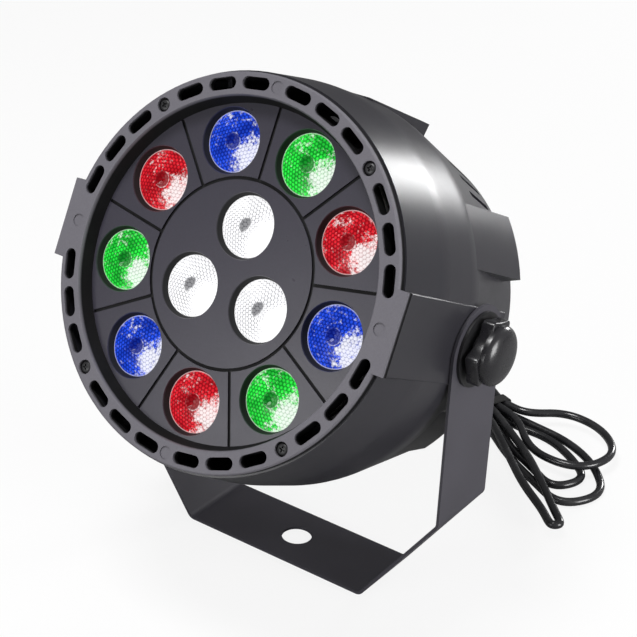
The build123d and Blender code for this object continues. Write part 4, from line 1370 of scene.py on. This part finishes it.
@dataclass
class StrainRelief(SubAssembly):
    """The gland: a hexagonal body, its thread, and a tapered boot with flexing ribs.

    Attributes:
        place: height of the gland on the rear cover.
        hexagon: radius over the corners.
        hexagon_height: its height.
        hexagon_edge: width of its rounded edges.
        collar: radius and height over the hexagon of the collar's points, in mm.
        collar_height: height of the collar over the hexagon.
        thread: radius of the thread.
        thread_depth: its depth.
        thread_length: how far it reaches into the cover.
        thread_turns: turns of the thread.
        base: radius of the boot at the gland.
        tip: radius at its end.
        tip_edge: width and height of the chamfer at its end.
        length: length of the boot.
        ribs: how many ribs.
        rib_share: share of the ribs' pitch that the first rib takes.
        groove: depth of the grooves between the ribs at the gland.
        groove_loss: share of that depth that is lost at the tip.
        ramp: width of the grooves' sides.
        steps: steps round the collar and the boot.
        thread_steps: steps round the thread.
        smooth: angle in degrees up to which an edge is shaded smooth.
    """

    place: float = -43.0 * MM
    hexagon: float = 8.4 * MM
    hexagon_height: float = 5.0 * MM
    hexagon_edge: float = 0.45 * MM
    collar: tuple[Flat, ...] = ((0.0, -0.1), (7.0, -0.1), (6.6, 1.2))
    collar_height: float = 1.7 * MM
    thread: float = 6.0 * MM
    thread_depth: float = 0.3 * MM
    thread_length: float = 6.2 * MM
    thread_turns: int = 12
    base: float = 5.2 * MM
    tip: float = 2.9 * MM
    tip_edge: Flat = (0.35 * MM, 0.4 * MM)
    length: float = 26.0 * MM
    ribs: int = 7
    rib_share: float = 0.45
    groove: float = 0.9 * MM
    groove_loss: float = 0.6
    ramp: float = 0.25 * MM
    steps: int = 64
    thread_steps: int = 48
    smooth: float = 40.0

    def boot(self) -> list[Flat]:
        """Profile of the ribbed boot from the gland to its tip.

        Returns:
            Radius and height outward of each point.
        """
        found = [(0.0, 0.0), (self.base, 0.0)]
        pitch = self.length / (self.ribs + 1)
        for i in range(self.ribs):
            near, far = pitch * (i + self.rib_share), pitch * (i + 1.0)
            for height, sunk in ((near, 0), (near + self.ramp, 1), (far - self.ramp, 1), (far, 0)):
                share = height / self.length
                radius = self.base + (self.tip - self.base) * share
                found.append((radius - sunk * self.groove * (1.0 - self.groove_loss * share), height))
        narrow, short = self.tip_edge
        return found + [(self.tip, self.length - short), (self.tip - narrow, self.length), (0.0, self.length)]

    def threads(self) -> list[Flat]:
        """Profile of the threaded shank behind the cover's face.

        Returns:
            Radius and height outward of each point.
        """
        found = [(0.0, -self.thread_length)]
        for i in range(self.thread_turns):
            for turn, radius in ((i, self.thread - self.thread_depth), (i + 0.5, self.thread)):
                found.append((radius, -self.thread_length * (1.0 - turn / self.thread_turns)))
        return found + [(self.thread, 0.0), (0.0, 0.0)]

    def build(self) -> None:
        """Builds the gland as one piece."""
        form = bmesh.new()
        width, high = self.hexagon, self.hexagon_height
        bmesh.ops.create_cone(form, cap_ends=True, segments=6, radius1=width, radius2=width, depth=high)
        bmesh.ops.bevel(
            form, geom=form.edges[:], offset=self.hexagon_edge, segments=2, profile=0.5, affect="EDGES", material=-1
        )
        form.transform(Matrix.Translation((0, 0, high / 2)))
        collar = [(r * MM, high + z * MM) for r, z in self.collar]
        collar += [(self.base, high + self.collar_height), (0.0, high + self.collar_height)]
        merge(form, lathe(collar, self.steps))
        merge(form, lathe(self.boot(), self.steps), Matrix.Translation((0, 0, high)))
        merge(form, lathe(self.threads(), self.thread_steps))
        turn = Matrix.Translation((0.0, self.place, HEAD.cover_face)) @ Matrix.Rotation(math.pi, 4, "X")
        mesh = to_mesh("gland_ribbed", form, HEAD.matrix @ turn, self.smooth)
        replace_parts(self.add(mesh, FINISHES["gland_nylon"], "gland_nylon", Body.HEAD), "cord_gland")


# ---------------------------------------------------------------- display


@dataclass
class Display(SubAssembly):
    """Four lit seven-segment digits just under the skin of the rear window.

    Attributes:
        height: height of the window's middle on the cover.
        digit: width and height of a digit.
        pitch: distance between digits.
        bar: width of a segment.
        gap: half the gap between segments.
        thickness: thickness of a segment.
        lean: slant of the digits.
        shown: the segments of each digit, top, upper right, lower right, bottom, lower left, upper left, middle.
    """

    height: float = 38.0 * MM
    digit: Flat = (3.6 * MM, 6.8 * MM)
    pitch: float = 6.3 * MM
    bar: float = 0.75 * MM
    gap: float = 0.18 * MM
    thickness: float = 0.08 * MM
    lean: float = 0.12
    shown: tuple[str, ...] = ("1111110", "1111110", "1111110", "0110000")

    def segments(self, pattern: str) -> list[list[Flat]]:
        """Outlines of a digit's lit segments about its middle.

        Args:
            pattern: seven marks, 1 where a segment is lit.

        Returns:
            Closed outlines.
        """
        w, h = self.digit[0] / 2, self.digit[1] / 2
        runs = (
            ((-w, h), (w, h)), ((w, h), (w, 0)), ((w, 0), (w, -h)), ((-w, -h), (w, -h)),
            ((-w, 0), (-w, -h)), ((-w, h), (-w, 0)), ((-w, 0), (w, 0)),
        )
        found = []
        for mark, (first, last) in zip(pattern, runs):
            if mark == "0":
                continue
            start, end = Vector(first), Vector(last)
            along = (end - start).normalized()
            side = Vector((-along.y, along.x)) * (self.bar / 2)
            start, end, point = start + along * self.gap, end - along * self.gap, along * (self.bar / 2)
            outline = [start, start + point + side, end - point + side, end, end - point - side, start + point - side]
            found.append([(p.x + p.y * self.lean, p.y) for p in outline])
        return found

    def build(self) -> None:
        """Builds the digits."""
        form = bmesh.new()
        for i, pattern in enumerate(self.shown):
            middle = (i - (len(self.shown) - 1) / 2) * self.pitch
            for outline in self.segments(pattern):
                raise_face(form, [(middle + x, y, 0.0) for x, y in outline], self.thickness)
        turn = Matrix.Translation((0.0, self.height, HEAD.cover_face)) @ Matrix.Rotation(math.pi, 4, "Y")
        mesh = to_mesh("display_digits", form, HEAD.matrix @ turn)
        self.add(mesh, FINISHES["digit_glow"], "window_tint", Body.HEAD)


# ---------------------------------------------------------------- the cord


@dataclass(frozen=True)
class Loop:
    """One strand through the tie and the loop that follows it, in mm and degrees.

    Attributes:
        slot: strand number across the tie.
        layer: 0 on the floor, 1 over it.
        angle: heading of the loop from the waist.
        reach: distance of its tip from the tie's end.
        near: how far the first flank lies from its middle.
        far: how far the second one lies.
        near_share: where the first flank's point lies, as a share of the reach.
        nose: radius of a pinched tip, or 0.
    """

    slot: int
    layer: int
    angle: float
    reach: float
    near: float
    far: float
    near_share: float = 0.55
    nose: float = 0.0


@dataclass
class CordHank(SubAssembly):
    """The mains cord: from the gland to the floor, through the tied hank, to the plug.

    Attributes:
        radius: radius of the sheath.
        floor_gap: gap under the lower layer.
        layer_gap: gap between the layers.
        lift: how much higher the strands lie in the tie.
        exit: where the cord leaves the gland, in mm.
        route: control points from the gland to the hank, in mm.
        start: first point of the hank, in mm.
        start_angle: its heading.
        straight: length of the straight ends.
        waist: middle of the tie, in mm.
        waist_angle: heading of the strands through it.
        half_length: half its length.
        step: distance between strands in it.
        fan: how far the strands of each slot turn aside at its ends, in degrees.
        loops: the loops, in the order that the cord follows them.
        far_share: where the second flank's point lies, as a share of the reach.
        tail_lead: straight length before the tail.
        tail: control points from the hank to the plug, in mm.
        plug: where the cord ends in the plug, in mm.
        bend_floor: height at which the cord rides wholly on the base; not used.
    """

    radius: float = 1.9 * MM
    floor_gap: float = 0.15 * MM
    layer_gap: float = 0.85 * MM
    lift: float = 0.7 * MM
    exit: Point = (0.0, 50.538, 47.02)
    route: tuple[Point, ...] = (
        (0.0, 66.0, 39.5),
        (-12.0, 79.0, 26.0),
        (-22.0, 91.0, 14.0),
        (-28.4, 103.0, 6.0),
        (-29.8, 115.3, 2.9),
        (-27.0, 126.4, 2.6),
        (-19.2, 134.2, 2.75),
    )
    start: Flat = (-9.5, 136.6)
    start_angle: float = 14.0
    straight: float = 4.5 * MM
    waist: Flat = (11.5, 143.0)
    waist_angle: float = -22.0
    half_length: float = 5.0 * MM
    step: float = 5.05 * MM
    fan: tuple[float, ...] = (14.0, 2.0, -14.0, -16.0)
    loops: tuple[Loop, ...] = (
        Loop(3, 0, -8.0, 77.0, 12.0, 22.0),
        Loop(0, 0, 178.0, 82.0, 19.0, 24.0),
        Loop(2, 0, -6.0, 63.0, 8.0, 14.0),
        Loop(1, 0, 185.0, 53.0, 10.0, 10.0),
        Loop(3, 1, -22.6, 99.0, 5.5, 3.5, nose=2.6),
        Loop(2, 1, 173.0, 33.0, 6.5, 4.5),
        Loop(1, 1, 14.0, 62.0, 17.0, 24.0, near_share=0.72),
    )
    far_share: float = 0.55
    tail_lead: float = 12.0 * MM
    tail: tuple[Point, ...] = (
        (-10.5, 173.5, 5.4),
        (-17.5, 185.5, 3.0),
        (-28.5, 194.0, 2.1),
        (-42.0, 198.5, 2.1),
        (-56.0, 200.2, 3.3),
        (-68.5, 199.5, 6.9),
    )
    plug: Point = (-80.5, 199.5, 6.9)
    bend_floor: float = 10.0 * MM

    def heading(self, angle: float) -> Vector:
        """The unit vector at an angle on the floor."""
        return polar(1.0, angle).to_3d()

    def height(self, layer: int) -> float:
        """Height of the cord's middle in a layer."""
        return self.radius + self.floor_gap + layer * (2 * self.radius + self.layer_gap)

    def waist_point(self, x: float, y: float, z: float) -> Vector:
        """A point by its place along and across the tie and its height."""
        centre = Vector((self.waist[0] * MM, self.waist[1] * MM, z))
        return centre + self.heading(self.waist_angle) * x + self.heading(self.waist_angle + 90.0) * y

    def gate(self, slot: int, layer: int, side: int, leaving: bool) -> Node:
        """Where a strand enters or leaves the tie.

        Args:
            slot: strand number across the tie.
            layer: its layer.
            side: 1 at the right end of the waist, -1 at the left.
            leaving: True where the strand leaves the tie.

        Returns:
            Point and heading.
        """
        across = self.step * ((len(self.fan) - 1) / 2 - slot)
        point = self.waist_point(side * self.half_length, across, self.height(layer) + self.lift)
        angle = self.waist_angle + (0.0 if side > 0 else 180.0) + side * self.fan[slot]
        return point, self.heading(angle if leaving else angle + 180.0)

    def flanks(self, loop: Loop, side: int, turn: int, next_layer: int) -> list[Node]:
        """The flanks and the tip of a loop.

        Args:
            loop: the loop.
            side: 1 for a loop on the right, -1 on the left.
            turn: 1 for a loop that turns left.
            next_layer: layer it ends in.

        Returns:
            Points and headings.
        """
        reach, near, far, nose = (size * MM for size in (loop.reach, loop.near, loop.far, loop.nose))
        start = self.waist_point(side * self.half_length, 0.0, 0.0)
        along = self.heading(self.waist_angle + loop.angle)
        across = self.heading(self.waist_angle + loop.angle + 90.0) * turn
        first, last = (Vector((0.0, 0.0, self.height(layer))) for layer in (loop.layer, next_layer))
        nodes = [(start + along * reach * loop.near_share - across * near + first, along)]
        if nose:
            nodes.append((start + along * (reach - nose) - across * nose + first, along))
        nodes.append((start + along * reach + (first + last) / 2, across))
        if nose:
            nodes.append((start + along * (reach - nose) + across * nose + last, -along))
        nodes.append((start + along * reach * self.far_share + across * far + last, -along))
        return nodes

    def nodes(self) -> list[Node]:
        """Follows the hank from its start to its end.

        Returns:
            Points and headings.
        """
        heading = self.heading(self.start_angle)
        first = Vector((self.start[0] * MM, self.start[1] * MM, self.height(0) + self.lift))
        found = [(first, heading), (first + heading * self.straight, heading)]
        end = (0, 1)
        ends = [(loop.slot, loop.layer) for loop in self.loops[1:]] + [end]
        for i, (loop, (next_slot, next_layer)) in enumerate(zip(self.loops, ends)):
            side = 1 if i % 2 == 0 else -1
            turn = side if loop.slot > next_slot else -side
            found.append(self.gate(loop.slot, loop.layer, -side, False))
            found.append(self.gate(loop.slot, loop.layer, side, True))
            found.extend(self.flanks(loop, side, turn, next_layer))
        found += [self.gate(*end, 1, False), self.gate(*end, -1, True)]
        point, heading = found[-1]
        return found + [(point + heading * self.straight, heading)]

    def handles(self, a: Node, b: Node) -> tuple[Vector, Vector]:
        """The control polygon's two points between two nodes.

        Args:
            a: point and heading.
            b: the next point and heading.

        Returns:
            The two points.
        """
        gap = b[0] - a[0]
        lean = 2 * (a[1].dot(b[1]) - 1)
        pull = gap.dot(a[1] + b[1])
        if abs(lean) < SAME_HEADING:
            reach = gap.dot(gap) / (2 * pull)
        else:
            reach = (pull - math.sqrt(pull * pull - lean * gap.dot(gap))) / lean
        return a[0] + a[1] * reach, b[0] - b[1] * reach

    def controls(self) -> list[Vector]:
        """The control points of the whole cord, from the gland to the plug.

        Returns:
            The points.
        """
        nodes = self.nodes()
        found = [Vector(point) * MM for point in (self.exit, *self.route)] + [nodes[0][0]]
        for a, b in zip(nodes, nodes[1:]):
            found.extend(self.handles(a, b))
        end, heading = nodes[-1]
        found += [end, end + heading * self.tail_lead]
        return found + [Vector(point) * MM for point in (*self.tail, self.plug)]

    def tube(self, name: str, bevel: float) -> bpy.types.Mesh:
        """The cord as a NURBS spline, made into a mesh.

        Args:
            name: the mesh's name.
            bevel: radius of the tube, or 0 for its line.

        Returns:
            The mesh.
        """
        data = bpy.data.curves.new(name, "CURVE")
        data.dimensions = "3D"
        data.resolution_u = 10
        data.bevel_depth = bevel
        data.bevel_resolution = 5
        data.use_fill_caps = bevel > 0
        spline = data.splines.new("NURBS")
        controls = self.controls()
        spline.points.add(len(controls) - 1)
        for point, place in zip(spline.points, controls):
            point.co = (*place, 1.0)
        spline.order_u = 3
        spline.use_endpoint_u = True
        holder = bpy.data.objects.new(name, data)
        mesh = bpy.data.meshes.new_from_object(holder)
        bpy.data.objects.remove(holder)
        bpy.data.curves.remove(data)
        mesh.name = name
        return mesh

    def build(self) -> None:
        line = self.tube("cord_line", 0.0)
        bpy.data.meshes.remove(line)
        mesh = self.tube("cord_sheath", self.radius)
        for face in mesh.polygons:
            face.use_smooth = True
        piece = self.add(mesh, FINISHES["cord_pvc"], "cord_pvc")
        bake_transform(piece)
        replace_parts(piece, "power_cord", "cord_hank", "cord_tail")


# ---------------------------------------------------------------- studio


@dataclass(frozen=True)
class Lamp:
    """A soft area light.

    Attributes:
        name: its name.
        place: where it stands.
        size: its width and height.
        power: its power in watts.
    """

    name: str
    place: Point
    size: Flat
    power: float

    def build(self, aim: Point) -> None:
        """Adds the light to the scene.

        Args:
            aim: what it faces.
        """
        data = bpy.data.lights.new(self.name, "AREA")
        data.shape = "RECTANGLE"
        data.size, data.size_y = self.size
        data.energy = self.power
        made = bpy.data.objects.new(self.name, data)
        made.location = self.place
        made.rotation_euler = (Vector(aim) - Vector(self.place)).to_track_quat("-Z", "Y").to_euler()
        bpy.context.scene.collection.objects.link(made)


@dataclass
class Studio:
    """Floor, world, lights and the camera at the photograph's viewing angle.

    Attributes:
        camera: place of the camera.
        right: the camera's right.
        down: the camera's down.
        forward: the camera's line of sight.
        lens: focal length in mm.
        sensor: width of the sensor in mm.
        floor_size: half width of the floor.
        floor_white: share of plain white that the camera sees on the floor.
        floor_shade: grey of the floor to every other ray.
        floor_greys: the two greys of its paper.
        floor_grain: scale of their grain, per metre.
        room: brightness of the room.
        room_right: how much brighter it is on the right.
        right_range: where along X that starts and is full.
        room_top: how much brighter it is overhead.
        top_range: where along Z that starts and is full.
        aim: what the lamps face.
        lamps: the lamps.
    """

    camera: Point = (0.36483, -0.52417, 0.43136)
    right: Point = (0.8105, 0.584, 0.0459)
    down: Point = (0.2987, -0.3446, -0.8899)
    forward: Point = (-0.5039, 0.735, -0.4538)
    lens: float = 100.44
    sensor: float = 36.0
    floor_size: float = 6.0
    floor_white: float = 0.86
    floor_shade: float = 0.3
    floor_greys: Flat = (0.86, 0.88)
    floor_grain: float = 90.0
    room: float = 0.13
    room_right: float = 0.3
    right_range: Flat = (-0.2, 0.9)
    room_top: float = 0.1
    top_range: Flat = (0.35, 1.0)
    aim: Point = (0.0, 0.0, 0.12)
    lamps: tuple[Lamp, ...] = (
        Lamp("key", (-0.36, -1.25, 0.30), (0.7, 0.5), 6.5),
        Lamp("top", (-0.15, -0.35, 1.35), (0.4, 0.4), 11.0),
        Lamp("rim", (0.19, 1.36, 0.41), (0.30, 0.30), 6.2),
        Lamp("side", (1.30, 0.05, 0.35), (0.6, 0.6), 12.0),
    )

    def place_camera(self) -> None:
        """Sets the scene's camera."""
        data = bpy.data.cameras.new("camera")
        data.lens = self.lens
        data.sensor_width = self.sensor
        data.clip_start = 10.0 * MM
        made = bpy.data.objects.new("camera", data)
        right, up, back = Vector(self.right), -Vector(self.down), -Vector(self.forward)
        turn = Matrix((right.normalized(), up.normalized(), back.normalized())).transposed().to_4x4()
        made.matrix_world = Matrix.Translation(self.camera) @ turn
        bpy.context.scene.collection.objects.link(made)
        bpy.context.scene.camera = made

    def world(self) -> None:
        """A dim room that is a little brighter on the right, and white to the camera."""
        made = bpy.data.worlds.new("studio")
        bpy.context.scene.world = made
        made.use_nodes = True
        sheet = Sheet(made.node_tree)
        background = made.node_tree.nodes["Background"]
        spread = sheet.node("SeparateXYZ")
        sheet.join(sheet.node("TexCoord").outputs["Generated"], spread.inputs[0])
        beside = sheet.remap(spread.outputs["X"], *self.right_range, self.room, self.room + self.room_right)
        above = sheet.remap(spread.outputs["Z"], *self.top_range, 0.0, self.room_top)
        seen = sheet.node("LightPath").outputs["Is Camera Ray"]
        level = sheet.maths("MAXIMUM", sheet.maths("ADD", beside, above), seen)
        colour = sheet.node("CombineColor")
        for socket in colour.inputs[:3]:
            sheet.feed(socket, level)
        sheet.join(colour.outputs[0], background.inputs["Color"])
        background.inputs["Strength"].default_value = 1.0

    def paper(self) -> bpy.types.Material:
        """The floor's paper, white to the camera and darker to every other ray.

        Returns:
            The material.
        """
        made = bpy.data.materials.new("floor_paper")
        made.use_nodes = True
        sheet = Sheet(made.node_tree)
        shader, output = (made.node_tree.nodes[name] for name in ("Principled BSDF", "Material Output"))
        grain = sheet.noise(sheet.place(), self.floor_grain, detail=3.0, roughness=0.6)
        seen = sheet.node("LightPath").outputs["Is Camera Ray"]
        pale = sheet.blend(grain, *((grey,) * 3 for grey in self.floor_greys))
        sheet.join(sheet.blend(seen, (self.floor_shade,) * 3, pale), shader.inputs["Base Color"])
        sheet.feed(shader.inputs["Roughness"], 0.9)
        sheet.feed(shader.inputs["Specular IOR Level"], 0.1)
        white = sheet.node("Emission")
        sheet.feed(white.inputs["Color"], (1.0, 1.0, 1.0))
        mix = sheet.node("MixShader")
        sheet.feed(mix.inputs[0], sheet.maths("MULTIPLY", seen, self.floor_white))
        sheet.join(shader.outputs[0], mix.inputs[1])
        sheet.join(white.outputs[0], mix.inputs[2])
        sheet.join(mix.outputs[0], output.inputs["Surface"])
        return made

    def floor(self) -> None:
        """A pale floor that keeps a soft shadow."""
        form = bmesh.new()
        bmesh.ops.create_grid(form, x_segments=8, y_segments=8, size=self.floor_size)
        mesh = bpy.data.meshes.new("floor")
        form.to_mesh(mesh)
        form.free()
        made = bpy.data.objects.new("floor", mesh)
        bpy.context.scene.collection.objects.link(made)
        mesh.materials.append(self.paper())

    def build(self) -> None:
        """Builds the studio."""
        bpy.context.scene.view_settings.view_transform = "Standard"
        self.world()
        self.floor()
        for lamp in self.lamps:
            lamp.build(self.aim)
        self.place_camera()


def main() -> None:
    """Builds the sub-assemblies in order."""
    logging.basicConfig(level=logging.INFO, format="%(message)s")
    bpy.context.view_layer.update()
    Studio().build()
    groups: list[SubAssembly] = [
        CordHank(), LensArray(), CrossScrews(), ClampKnobs(), StrainRelief(), Display(), CarriedNodes(),
    ]
    for group in groups:
        group.build()
        group.report()


if __name__ == "__main__":
    main()
